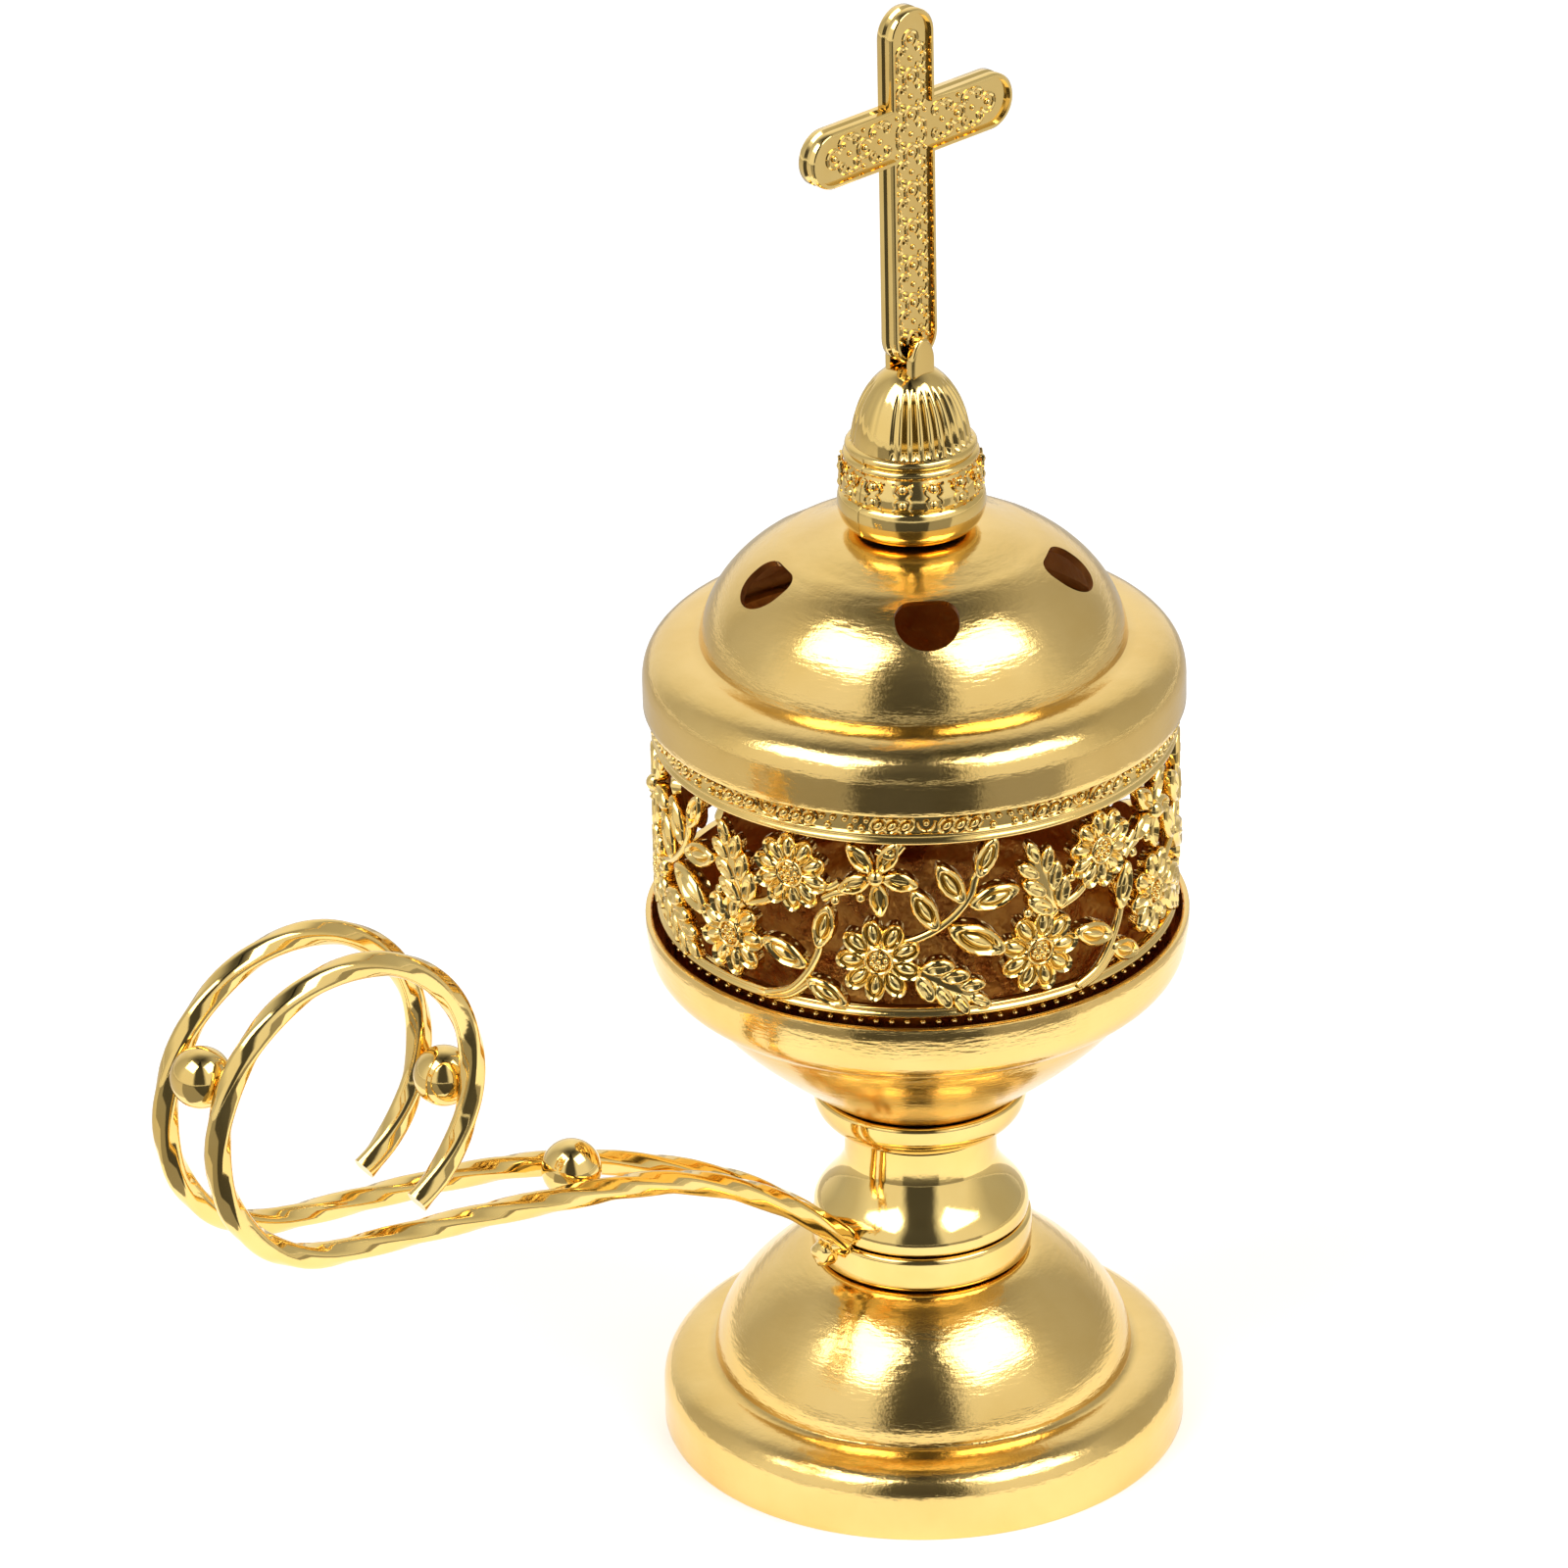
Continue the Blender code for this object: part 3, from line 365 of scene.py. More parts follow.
half = wire_side / 2 - wire_edge
wire_section = []
for corner in range(4):
    swing = math.pi / 2 * corner
    centre = Vector((half, half)) @ Matrix.Rotation(-swing, 2)
    for i in range(edge_points):
        lean = swing + math.pi / 2 / (edge_points - 1) * i
        wire_section.append((centre.x + wire_edge * math.cos(lean), centre.y + wire_edge * math.sin(lean)))
first = loop_point(loop_start)
ahead = (first[0] + run_lead * math.sin(loop_start), first[1] - run_lead * math.cos(loop_start))
run = curve((wire_tip_reach, wire_tip_height), run_pull, ahead, first, run_points)
loop = [loop_point(loop_start + loop_sweep * i / loop_points) for i in range(1, loop_points + 1)]
for side, name in ((-1, "front"), (1, "rear")):
    route = [Vector((axis_x - reach, side * spread_at(reach), height)) for reach, height in run]
    route += [Vector((axis_x - reach, side * wire_spread, height)) for reach, height in loop]
    wire = swept(route, wire_section, Vector((0, 1, 0)), math.pi / 2 / quarter_twist)
    set_down("twisted_wire_" + name, wire, [bright], "vessel", ["handle_wire_" + name],
             crease=50)

for place in ("outer", "inner", "run"):
    low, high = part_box("handle_ball_" + place)
    bm = bmesh.new()
    bmesh.ops.create_uvsphere(bm, u_segments=40, v_segments=24, radius=(high.x - low.x) / 2)
    bmesh.ops.translate(bm, verts=bm.verts, vec=((low.x + high.x) / 2, 0, (low.z + high.z) / 2))
    set_down("solder_ball_" + place, bm, [bright], "vessel", ["handle_ball_" + place])

braze_low, braze_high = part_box("handle_braze")
braze_middle = Vector(((braze_low.x + braze_high.x) / 2, 0, (braze_low.z + braze_high.z) / 2))
lump_depth = 0.34            # how rough the bead is, as a share of a lump's size
lump_scale = 750.0
lump_shift = 5000.0          # sets the lumps' roughness apart from one another
bm = bmesh.new()
for offset, size in (((0.0004, 0.0002, 0.0016), 0.0019), ((0.0020, -0.0016, 0.0032), 0.0018),
                     ((0.0022, 0.0013, 0.0034), 0.0017), ((0.0012, -0.0006, 0.0040), 0.0016)):
    lump = bmesh.ops.create_icosphere(bm, subdivisions=3, radius=size)["verts"]
    for vert in lump:
        vert.co *= 1.0 + lump_depth * noise.noise(vert.co * lump_scale + Vector(offset) * lump_shift)
    bmesh.ops.translate(bm, verts=lump, vec=braze_middle + Vector(offset))
set_down("braze_bead", bm, [bright], "vessel", ["handle_braze"], crease=80)

# ---------------------------------------------------------------- filigree band
# A strip of cast lace bent into a ring and soldered inside the lid's edge. Five repeats of flowers,
# branches and leaves stand between a plain lower rim and an upper border of beads, and the strip's
# lower lip drops inside the bowl. Its front is bright plated, and its back is rough, and darker with
# painted shade, as it faces into the hollow.
band_low, band_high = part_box("filigree_band")
lid_low, lid_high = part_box("lid_dome")
band_face = 0.0353
lace_wall = 0.0011
lip_radius = 0.0348
rim_base = bowl_high.z + 0.0009
lace_base = rim_base + 0.0014
repeats = 5
repeat_length = 0.0460
repeat_angle = math.tau / repeats
first_angle = math.radians(-137.4)
# The back's darker gold is painted shade, for the side of the lace that faces into the hollow.
back_shaded_gold = (0.66, 0.28, 0.055)
back_shade = (0.34, 0.09, 0.012)
ridge_power = 1.5            # the inner rings of a petal's relief narrow faster than they shorten
mm = 0.001
rough_shaded_back = plated_metal("rough_gilt_back_shaded", back_shaded_gold, back_shade, roughness=0.36, fine=1300.0,
                          fine_depth=0.00012, broad=700.0, broad_depth=0.00020)


def round_points(across, up, count, points):
    """Points round an oval of the given half sizes, at a count to the full turn."""
    turns = [math.tau * i / count for i in range(points)]
    return [(across * math.cos(t), up * math.sin(t)) for t in turns]


def flat_tube(points, thickness, sides=8, steps=6):
    """A round rod along (along, up) points on the lace's flat pattern, through a smooth curve."""
    knots = [Vector((u, v, 0.0)) for u, v in points]
    route = []
    for i in range(len(knots) - 1):
        here, there = knots[i], knots[i + 1]
        behind = knots[i - 1] if i else here * 2 - there
        beyond = knots[i + 2] if i + 2 < len(knots) else there * 2 - here
        span = interpolate_bezier(here, here + (there - behind) / 6, there - (beyond - here) / 6, there,
                                  steps)
        route += span if i == 0 else span[1:]
    ring = round_points(thickness / 2, thickness / 2, sides, sides)
    return swept(route, ring, Vector((0, 0, 1)))


def oval_relief(length, width, rings, sides=14, tip_in=0.0, root_in=0.0):
    """A petal or leaf along +Y from its root: a flat back, a wall, then rings of relief."""
    bm = bmesh.new()
    ring = bmesh.ops.create_circle(bm, cap_ends=True, segments=sides, radius=1.0)["verts"]
    for vert in ring:
        vert.co.x *= 1.0 - (tip_in if vert.co.y > 0 else root_in) * abs(vert.co.y) ** 1.5
    bmesh.ops.scale(bm, vec=(width / 2, length / 2, 1.0), verts=ring)
    loop = list({e for v in ring for e in v.link_edges})
    shrunk, thinned, height = 1.0, 1.0, -lace_wall
    bmesh.ops.translate(bm, verts=ring, vec=(0, 0, height))
    for share, level in rings:
        ring, loop = extruded(bm, loop)
        across = share ** ridge_power
        bmesh.ops.scale(bm, vec=(across / thinned, share / shrunk, 1.0), verts=ring)
        bmesh.ops.translate(bm, verts=ring, vec=(0, 0, level - height))
        shrunk, thinned, height = share, across, level
    bmesh.ops.contextual_create(bm, geom=loop)
    bmesh.ops.translate(bm, verts=bm.verts, vec=(0, length / 2, 0))
    bmesh.ops.recalc_face_normals(bm, faces=bm.faces)
    return bm


def kept(bm):
    """Puts a shape by, to be stamped as often as the pattern needs it."""
    mesh = bpy.data.meshes.new("stamp")
    bm.to_mesh(mesh)
    bm.free()
    return mesh


def stamp(bm, mesh, place=Matrix.Identity(4)):
    """Adds a copy of a kept shape at its place."""
    copy = mesh.copy()
    copy.transform(place)
    bm.from_mesh(copy)
    bpy.data.meshes.remove(copy)


def flat_place(u, v, turn=0.0, size=1.0, lift=0.0):
    """A place on the flat pattern, with the turn in degrees, anticlockwise."""
    spin = Matrix.Rotation(math.radians(turn), 4, "Z")
    return Matrix.Translation((u, v, lift)) @ spin @ Matrix.Scale(size, 4)


petal_length = 0.0047
petal_rings = [(1.0, 0.0001), (0.97, 0.00052), (0.90, 0.00074), (0.80, 0.00055), (0.68, 0.00004),
               (0.50, 0.00058), (0.22, 0.00074)]
star_rings = [(1.0, 0.0001), (0.90, 0.00060), (0.72, 0.00068), (0.50, 0.00010), (0.22, 0.00022)]
leaf_rings = [(1.0, 0.0001), (0.93, 0.00055), (0.80, 0.00072), (0.68, 0.00050), (0.56, 0.00005),
              (0.42, 0.00055), (0.14, 0.00078)]
lobe_rings = [(1.0, 0.0), (0.86, 0.00070), (0.64, 0.00082), (0.36, 0.00040)]
body_rings = [(1.0, 0.0), (0.80, 0.00028), (0.30, 0.00040)]
petal = kept(oval_relief(petal_length, 0.0032, petal_rings, sides=16, tip_in=-0.08, root_in=0.26))
star_petal = kept(oval_relief(0.0056, 0.0031, star_rings, tip_in=0.42, root_in=0.40))
leaf = kept(oval_relief(0.0070, 0.0035, leaf_rings, tip_in=0.34, root_in=0.28))
lobe = kept(oval_relief(0.0050, 0.0028, lobe_rings, sides=10, tip_in=0.20, root_in=0.30))
leaf_body = kept(oval_relief(0.0112, 0.0036, body_rings, sides=12, tip_in=0.3, root_in=0.3))


def ball(radius, subdivisions=2, shape=(1.0, 1.0, 1.0)):
    """A small ball, which may be drawn out of round."""
    bm = bmesh.new()
    bmesh.ops.create_icosphere(bm, subdivisions=subdivisions, radius=radius)
    bmesh.ops.scale(bm, vec=shape, verts=bm.verts)
    return bm


dot = kept(ball(0.00034, 1))
seed_size = 1.25             # the dots in a flower's middle and under the rim


def daisy(petals, radius):
    """A flower of double-rimmed petals round a ringed middle set with small balls."""
    bm = bmesh.new()
    for i in range(petals):
        rooted = Matrix.Translation((0, radius - petal_length, 0))
        stamp(bm, petal, flat_place(0, 0, 360.0 * i / petals) @ rooted)
    middle = bmesh.ops.create_uvsphere(bm, u_segments=20, v_segments=10, radius=0.0018)["verts"]
    bmesh.ops.scale(bm, vec=(1, 1, 0.36), verts=middle)
    disc = bmesh.ops.create_cone(bm, cap_ends=True, segments=24, radius1=0.0025, radius2=0.0022,
                                 depth=lace_wall + 0.0003)["verts"]
    bmesh.ops.translate(bm, verts=disc, vec=(0, 0, -lace_wall / 2 + 0.00015))
    ring = kept(flat_tube(round_points(0.00185, 0.00185, 12, 13), 0.00066, 6, steps=3))
    stamp(bm, ring, flat_place(0, 0, lift=0.00050))
    stamp(bm, dot, flat_place(0, 0, size=seed_size, lift=0.00072))
    for u, v in round_points(0.00098, 0.00098, 6, 6):
        stamp(bm, dot, flat_place(u, v, size=seed_size, lift=0.00062))
    return kept(bm)


def star_flower():
    """Five pointed petals round one ball."""
    bm = bmesh.new()
    for i in range(5):
        stamp(bm, star_petal, flat_place(0, 0, 72.0 * i - 30.0) @ Matrix.Translation((0, 0.0005, 0)))
    middle = bmesh.ops.create_uvsphere(bm, u_segments=16, v_segments=10, radius=0.00125)["verts"]
    bmesh.ops.translate(bm, verts=middle, vec=(0, 0, 0.0004))
    return kept(bm)


def serrated_leaf():
    """A long leaf of three pairs of bold lobes on a solid body, along +Y."""
    bm = bmesh.new()
    stamp(bm, leaf_body)
    for i in range(3):
        reach = 0.0004 + 0.0031 * i
        size = 1.04 - 0.10 * i
        for side in (-1, 1):
            stamp(bm, lobe, flat_place(side * 0.0004, reach, -side * 33, size))
    stamp(bm, lobe, flat_place(0, 0.0086, 0, 0.78))
    return kept(bm)


def full_repeat():
    """One repeat of the lace, flat: along and up from the middle of its first low flower."""
    bm = bmesh.new()
    low_daisy = daisy(9, 0.0062)
    high_daisy = daisy(10, 0.0058)
    star = star_flower()
    sprig = serrated_leaf()
    stamp(bm, low_daisy, flat_place(0, 7.2 * mm, 12))
    stamp(bm, star, flat_place(-0.25 * mm, 19.6 * mm))
    stamp(bm, low_daisy, flat_place(22.75 * mm, 6.6 * mm, -8))
    stamp(bm, high_daisy, flat_place(33.3 * mm, 18.6 * mm, 5))
    stamp(bm, sprig, flat_place(5.0 * mm, 5.9 * mm, -120, 0.98))
    stamp(bm, sprig, flat_place(25.6 * mm, 11.4 * mm, 21))
    for start, end, size in (((13.7, 18.9), (16.2, 24.2), 0.92), ((11.9, 15.4), (8.5, 20.8), 1.02),
                             ((12.4, 15.0), (19.4, 16.6), 1.1), ((8.2, 11.6), (4.9, 17.3), 1.02),
                             ((17.8, 7.6), (10.1, 11.7), 1.35), ((37.3, 7.9), (38.9, 14.2), 1.02),
                             ((35.7, 4.9), (29.0, 7.6), 1.12), ((35.4, 3.2), (41.0, 0.3), 1.0)):
        turn = math.degrees(math.atan2(start[0] - end[0], end[1] - start[1]))
        stamp(bm, leaf, flat_place(start[0] * mm, start[1] * mm, turn, size))
    stems = [[(2.5, 9.6), (5.2, 10.4), (8.2, 11.9), (11.0, 14.2), (12.8, 16.7), (13.4, 18.9),
              (14.2, 20.3)],
             [(29.0, -0.6), (32.6, 0.8), (35.2, 3.4), (37.0, 6.6), (37.7, 9.0)],
             [(29.6, -0.9), (33.0, 0.2), (36.0, 2.6)],
             [(-0.2, 23.4), (1.9, 22.6), (3.6, 24.4)],
             [(26.0, 12.2), (29.0, 13.2), (31.4, 15.0)],
             [(25.5, 12.0), (24.4, 11.0), (23.8, 9.8)],
             [(38.2, 15.6), (40.0, 16.6), (42.2, 17.2)],
             [(-5.4, 18.4), (-6.8, 17.4), (-8.2, 17.2)]]
    for stem in stems:
        rod = flat_tube([(u * mm, v * mm) for u, v in stem], 0.00125)
        stamp(bm, kept(rod), flat_place(0, 0, lift=-0.0001))
    for u, v in ((-6.0, 15.6), (27.8, 16.2), (43.6, 16.4), (20.9, 12.6)):
        stamp(bm, dot, flat_place(u * mm, v * mm, size=2.4, lift=0.0002))
    return kept(bm)


def upper_border():
    """Half a repeat of the border, flat: a cluster of dots, slanted ringed ovals and a half ring."""
    bm = bmesh.new()
    bead = ball(1.0, 2, (0.00056, 0.00088, 0.00068))
    ring = kept(flat_tube(round_points(0.00088, 0.00130, 10, 11), 0.00040, 5, steps=2))
    stamp(bead, ring, flat_place(0, 0, lift=0.0001))
    bead = kept(bead)
    for u in (-5.6, -3.7, -1.8, 3.8, 5.7, 7.6):
        stamp(bm, bead, flat_place(u * mm, 0, -48))
    for u, v in ((-10.2, 0.62), (-9.5, -0.62), (-8.7, 0.6), (-7.9, -0.6), (-7.2, 0.62), (9.5, 0.6),
                 (10.3, -0.6), (11.1, 0.6), (1.0, 0.4)):
        stamp(bm, dot, flat_place(u * mm, v * mm, size=1.6))
    half_ring = [((1.0 + 1.25 * math.cos(math.radians(t))) * mm,
                  (0.62 + 1.4 * math.sin(math.radians(t))) * mm) for t in range(180, 361, 30)]
    stamp(bm, kept(flat_tube(half_ring, 0.00050, 6)))
    return kept(bm)


def bent_round(pattern, radius, height, angle, length, sweep):
    """A flat pattern bent round the band: along becomes angle, up height, and relief radius."""
    bm = bmesh.new()
    bm.from_mesh(pattern)
    for vert in bm.verts:
        turn = angle + vert.co.x / length * sweep
        reach = radius + vert.co.z
        vert.co = Vector((axis_x + reach * math.cos(turn), reach * math.sin(turn), height + vert.co.y))
    return kept(bm)


lace = bmesh.new()
repeat = full_repeat()
for i in range(repeats):
    stamp(lace, bent_round(repeat, band_face, lace_base, first_angle + repeat_angle * i,
                           repeat_length, repeat_angle))
border = upper_border()
border_height = lid_low.z - 0.0018
border_angle = math.radians(9.0)
for i in range(repeats * 2):
    stamp(lace, bent_round(border, band_face + 0.0002, border_height,
                           first_angle + repeat_angle / 2 * i + border_angle,
                           repeat_length / 2, repeat_angle / 2))

upper_rail = lid_low.z - 0.0046
inner_face = band_face - lace_wall
border_outline = [(inner_face, upper_rail)]
border_outline += arc((band_face, upper_rail + 0.00035), 0.00045, -90, 70, 6)
border_outline += arc((band_face, upper_rail + 0.0013), 0.00035, -70, 80, 6)
border_outline += [(band_face, upper_rail + 0.0018), (band_face, band_high.z), (inner_face, band_high.z)]
stamp(lace, kept(spun(border_outline, fine_round)))
rim_outline = [(lip_radius - 0.0010, band_low.z), (lip_radius - 0.0002, band_low.z),
               (lip_radius, band_low.z + 0.0002), (lip_radius, rim_base)]
rim_outline += arc((band_face - 0.0001, rim_base + 0.00035), 0.00045, -80, 75, 6)
rim_outline += arc((band_face - 0.0001, rim_base + 0.0012), 0.00030, -75, 90, 5)
rim_outline += [(inner_face, rim_base + 0.0015), (inner_face, rim_base + 0.0003),
                (lip_radius - 0.0010, rim_base - 0.0003)]
stamp(lace, kept(spun(rim_outline, fine_round)))
bead_pitch = 0.0021
bead_count = round(math.tau * lip_radius / bead_pitch)
for x, y in round_points(lip_radius, lip_radius, bead_count, bead_count):
    stamp(lace, dot, flat_place(axis_x + x, y, size=seed_size, lift=rim_base - 0.0010))

# A plain strap inside the ring joins the two ends of the strip, at the back.
strap_angle = math.radians(47.9)
strap_width = math.radians(17)
strap_wall = 0.0007
strap_reach = inner_face - strap_wall / 2
strap_half = (lid_low.z - rim_base) / 2 - 0.0004
strap_middle = (lid_low.z + rim_base) / 2
strap_section = [(x * strap_half, y * strap_wall / 2) for x, y in ((-1, -1), (1, -1), (1, 1), (-1, 1))]
strap_turns = [strap_angle + strap_width * (i / 12 - 0.5) for i in range(13)]
strap_route = [Vector((axis_x + strap_reach * math.cos(t), strap_reach * math.sin(t), strap_middle))
               for t in strap_turns]
stamp(lace, kept(swept(strap_route, strap_section, Vector((0, 0, 1)))))
bmesh.ops.recalc_face_normals(lace, faces=lace.faces)
# Faces turned inwards take the second metal, the back's painted shade.
for face in lace.faces:
    middle = face.calc_center_median()
    outward = Vector((middle.x - axis_x, middle.y, 0)).normalized()
    face.material_index = 1 if face.normal.dot(outward) < -0.5 else 0
set_down("filigree_lace", lace, [bright, rough_shaded_back], "lid", ["filigree_band"], crease=60)

# ---------------------------------------------------------------- lid
# The lid is a stepped dome spun from the same satin sheet, with a rounded skirt that hides the
# band's top edge. Five shield-shaped vents are punched through its shoulder for the smoke.
lid_radius = 0.0368
lid_edge = lid_low.z
lid_top = lid_high.z
lid_step = lid_edge + 0.0094
lid_step_radius = 0.0290
lid_crown = lid_edge + 0.0232
lid_crown_radius = 0.0177
lid_turn = math.radians(5)
vent_count = 5
vent_width = 0.0086
vent_length = 0.0076
vent_corner = 0.0024
vent_start = math.radians(15)
# The lid's inside faces take a dark brown gold: painted shade for the hollow under the lid, seen through
# the vents.
lid_inside_shaded_gold = (0.52, 0.23, 0.065)
lid_inside_deep_shade = (0.30, 0.11, 0.022)
lid_inside_painted_shade = plated_metal("lid_painted_shade_inside", lid_inside_shaded_gold, lid_inside_deep_shade, roughness=0.40, fine=900.0,
                      fine_depth=0.00010, broad=380.0, broad_depth=0.00012)
lid_flat_radius = 0.0092     # the flat seat under the finial
lid_skin = [(rod_bore, lid_top), (lid_flat_radius, lid_top)]
lid_skin += curve((lid_flat_radius + 0.0006, lid_top), (lid_flat_radius + 0.0035, lid_top - 0.0004),
                  (lid_crown_radius - 0.0030, lid_crown + 0.0008), (lid_crown_radius, lid_crown), 10)
lid_skin += curve((lid_crown_radius + 0.0006, lid_crown - 0.0003),
                  (lid_crown_radius + 0.0070, lid_crown - 0.0032),
                  (lid_step_radius - 0.0005, lid_step + 0.0050),
                  (lid_step_radius, lid_step + 0.0002), 24)
lid_skin += curve((lid_step_radius + 0.0006, lid_step), (lid_step_radius + 0.0050, lid_step - 0.0002),
                  (lid_radius, lid_edge + 0.0076), (lid_radius, lid_edge + 0.0038), 18)
lid_skin += [(lid_radius, lid_edge + 0.0012), (lid_radius, lid_edge)]
lid = set_down("lid_spinning", spun(sheet_outline(lid_skin, sheet_wall), fine_round), [satin, lid_inside_painted_shade],
               "lid", ["lid_dome"], crease=40)


def thickened(bm, outline, near, depth):
    """A plate of a flat outline, drawn out from where near puts its points."""
    rim = [bm.verts.new(near(*point)) for point in outline]
    grown = bmesh.ops.extrude_face_region(bm, geom=[bm.faces.new(rim)])["geom"]
    far = [g for g in grown if isinstance(g, bmesh.types.BMVert)]
    bmesh.ops.translate(bm, verts=far, vec=depth)
    return rim + far


def skin_height(skin, radius):
    """Height of a skin at a radius."""
    for (r0, z0), (r1, z1) in zip(skin, skin[1:]):
        if r0 <= radius <= r1 and r0 != r1:
            return z0 + (z1 - z0) * (radius - r0) / (r1 - r0)
    return skin[-1][1]


def vent_punch():
    """Shield-shaped punches, flat edge uppermost, each square to the dome where it cuts."""
    half_width = vent_width / 2
    top = vent_length / 2
    outline = arc((0.0, half_width - top), half_width, 180, 360, 25)
    outline += arc((half_width - vent_corner, top - vent_corner), vent_corner, 0, 90, 7)
    outline += arc((vent_corner - half_width, top - vent_corner), vent_corner, 90, 180, 7)
    top_radius = lid_crown_radius + 0.0008
    low_radius = top_radius + vent_length * 0.8
    top_point = Vector((top_radius, skin_height(lid_skin, top_radius)))
    low_point = Vector((low_radius, skin_height(lid_skin, low_radius)))
    centre = (top_point + low_point) / 2
    slope = math.atan2(top_point.y - low_point.y, low_point.x - top_point.x)
    bm = bmesh.new()
    for i in range(vent_count):
        body = thickened(bm, outline, lambda x, y: (x, y, -vent_length / 2), (0, 0, vent_length))
        bmesh.ops.rotate(bm, verts=body, cent=(0, 0, 0), matrix=Matrix.Rotation(slope, 3, "X"))
        bmesh.ops.translate(bm, verts=body, vec=(0, -centre.x, centre.y))
        turn = vent_start + lid_turn + math.pi / 2 + math.tau * i / vent_count
        bmesh.ops.rotate(bm, verts=body, cent=(0, 0, 0), matrix=Matrix.Rotation(turn, 3, "Z"))
    bmesh.ops.translate(bm, verts=bm.verts, vec=(axis_x, 0, 0))
    bmesh.ops.recalc_face_normals(bm, faces=bm.faces)
    return kept(bm)


punch = linked("vent_punch", vent_punch())
punched = lid.modifiers.new("vents", "BOOLEAN")
punched.operation = "DIFFERENCE"
punched.solver = "EXACT"
punched.object = punch
bpy.context.view_layer.update()
pierced = bpy.data.meshes.new_from_object(lid.evaluated_get(bpy.context.evaluated_depsgraph_get()))
lid.modifiers.clear()
lid.data = pierced
bpy.data.objects.remove(punch)
# The inside faces take the lid's painted shade.
paint_inside_shade(pierced, Vector((axis_x, 0, lid_edge)))
pierced.shade_smooth()
pierced.set_sharp_from_angle(angle=math.radians(32))

# ---------------------------------------------------------------- finial
# A hollow-cast bell knob, screwed to the lid from inside. Flutes run down its front and back and
# die out towards the casting seams, over two thin rings, a band of small paired ornaments and a
# round bottom moulding. Two flat lugs at the top grip the cross.
finial_low, finial_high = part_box("finial")
finial_radius = 0.0098
finial_top = finial_low.z + 0.0235
finial_groove = finial_low.z + 0.0056
finial_band_top = finial_groove + 0.0044
flute_base = finial_band_top + 0.0027
flute_count = 32
flute_depth = 0.00062
flute_start = 0.40            # flutes begin this far round from the casting seams, as a sine
flute_blend = 0.20
flute_fade_in = 0.04          # the flutes deepen over this share of the dome's height
flute_end = 0.80              # and have died out here
flute_fade_out = 0.16
flute_least = 0.06            # what is left of them at the seams
flute_sharpness = 1.9
knob_outline = [(rod_bore, finial_low.z), (finial_radius * 0.78, finial_low.z)]
knob_outline += curve((finial_radius * 0.86, finial_low.z + 0.0003),
                      (finial_radius * 1.03, finial_low.z + 0.0016),
                      (finial_radius * 1.05, finial_low.z + 0.0038),
                      (finial_radius, finial_groove - 0.0003), 14)
knob_outline += [(finial_radius - 0.0005, finial_groove), (finial_radius - 0.0004, finial_groove + 0.0002)]
knob_outline += curve((finial_radius - 0.0001, finial_groove + 0.0005),
                      (finial_radius - 0.0001, finial_groove + 0.0020),
                      (finial_radius - 0.0006, finial_band_top - 0.0010),
                      (finial_radius - 0.0012, finial_band_top - 0.0001), 10)
for step in range(2):
    middle = (finial_radius - 0.0012 - 0.0003 * step, finial_band_top + 0.0007 + 0.0013 * step)
    knob_outline += arc(middle, 0.0006, -70, 70, 7)
dome_start = len(knob_outline)
knob_outline += curve((finial_radius - 0.0017, flute_base), (finial_radius - 0.0021, flute_base + 0.0050),
                      (finial_radius - 0.0047, finial_top - 0.0004), (0.0, finial_top), 30)
knob = spun([(0.0, finial_low.z)] + knob_outline, flute_count * 8, middle=0.0, closed=False)
for vert in knob.verts:
    if vert.co.z > flute_base + 0.00002:
        turn = math.atan2(vert.co.y, vert.co.x)
        rise = (vert.co.z - flute_base) / (finial_top - flute_base)
        edge = min(rise / flute_fade_in, 1.0) * min(max((flute_end - rise) / flute_fade_out, 0.0), 1.0)
        face_on = min(max((abs(math.sin(turn)) - flute_start) / flute_blend, flute_least), 1.0)
        valley = (0.5 - 0.5 * math.cos(turn * flute_count)) ** flute_sharpness
        inward = flute_depth * edge * face_on * valley
        span = math.hypot(vert.co.x, vert.co.y)
        if span > inward:
            vert.co.x *= 1 - inward / span
            vert.co.y *= 1 - inward / span
ornament = kept(ball(0.00072))
bracket = [(0.0014, 0.0019), (0.0009, 0.0016), (0.0012, 0.0009), (0.0010, 0.0004), (0.0006, 0.0),
           (0.0010, -0.0004), (0.0012, -0.0009), (0.0009, -0.0016), (0.0014, -0.0019)]
bracket = kept(flat_tube(bracket, 0.00048, 6, steps=3))
ornament_count = 14
ornament_height = (finial_groove + finial_band_top) / 2 + 0.0001
ornament_pair = 0.00112       # each of a pair from the middle of the band
seam_gap = 0.15               # no ornaments this close to the casting seams, as a sine
for i in range(ornament_count):
    turn = math.tau * (i + 0.5) / ornament_count
    if abs(math.sin(turn)) < seam_gap:
        continue
    outward = Matrix.Rotation(turn + math.pi / 2, 4, "Z")
    outward = outward @ Matrix.Translation((0, -finial_radius + 0.0004, 0))
    for rise in (-ornament_pair, ornament_pair):
        stamp(knob, ornament, outward @ Matrix.Translation((0, 0.0001, ornament_height + rise)))
    upright = outward @ Matrix.Translation((0, -0.0001, ornament_height))
    upright = upright @ Matrix.Rotation(math.pi / 2, 4, "X")
    stamp(knob, bracket, upright)
    stamp(knob, bracket, upright @ Matrix.Rotation(math.pi, 4, "Z"))
lug_width = 0.0042
lug_wall = 0.0012
lug_round = 0.00050
seam_radius = 0.00022
cross_wall = 0.0030
lug_foot = finial_top - 0.0022
lug_top = finial_high.z - 0.0003
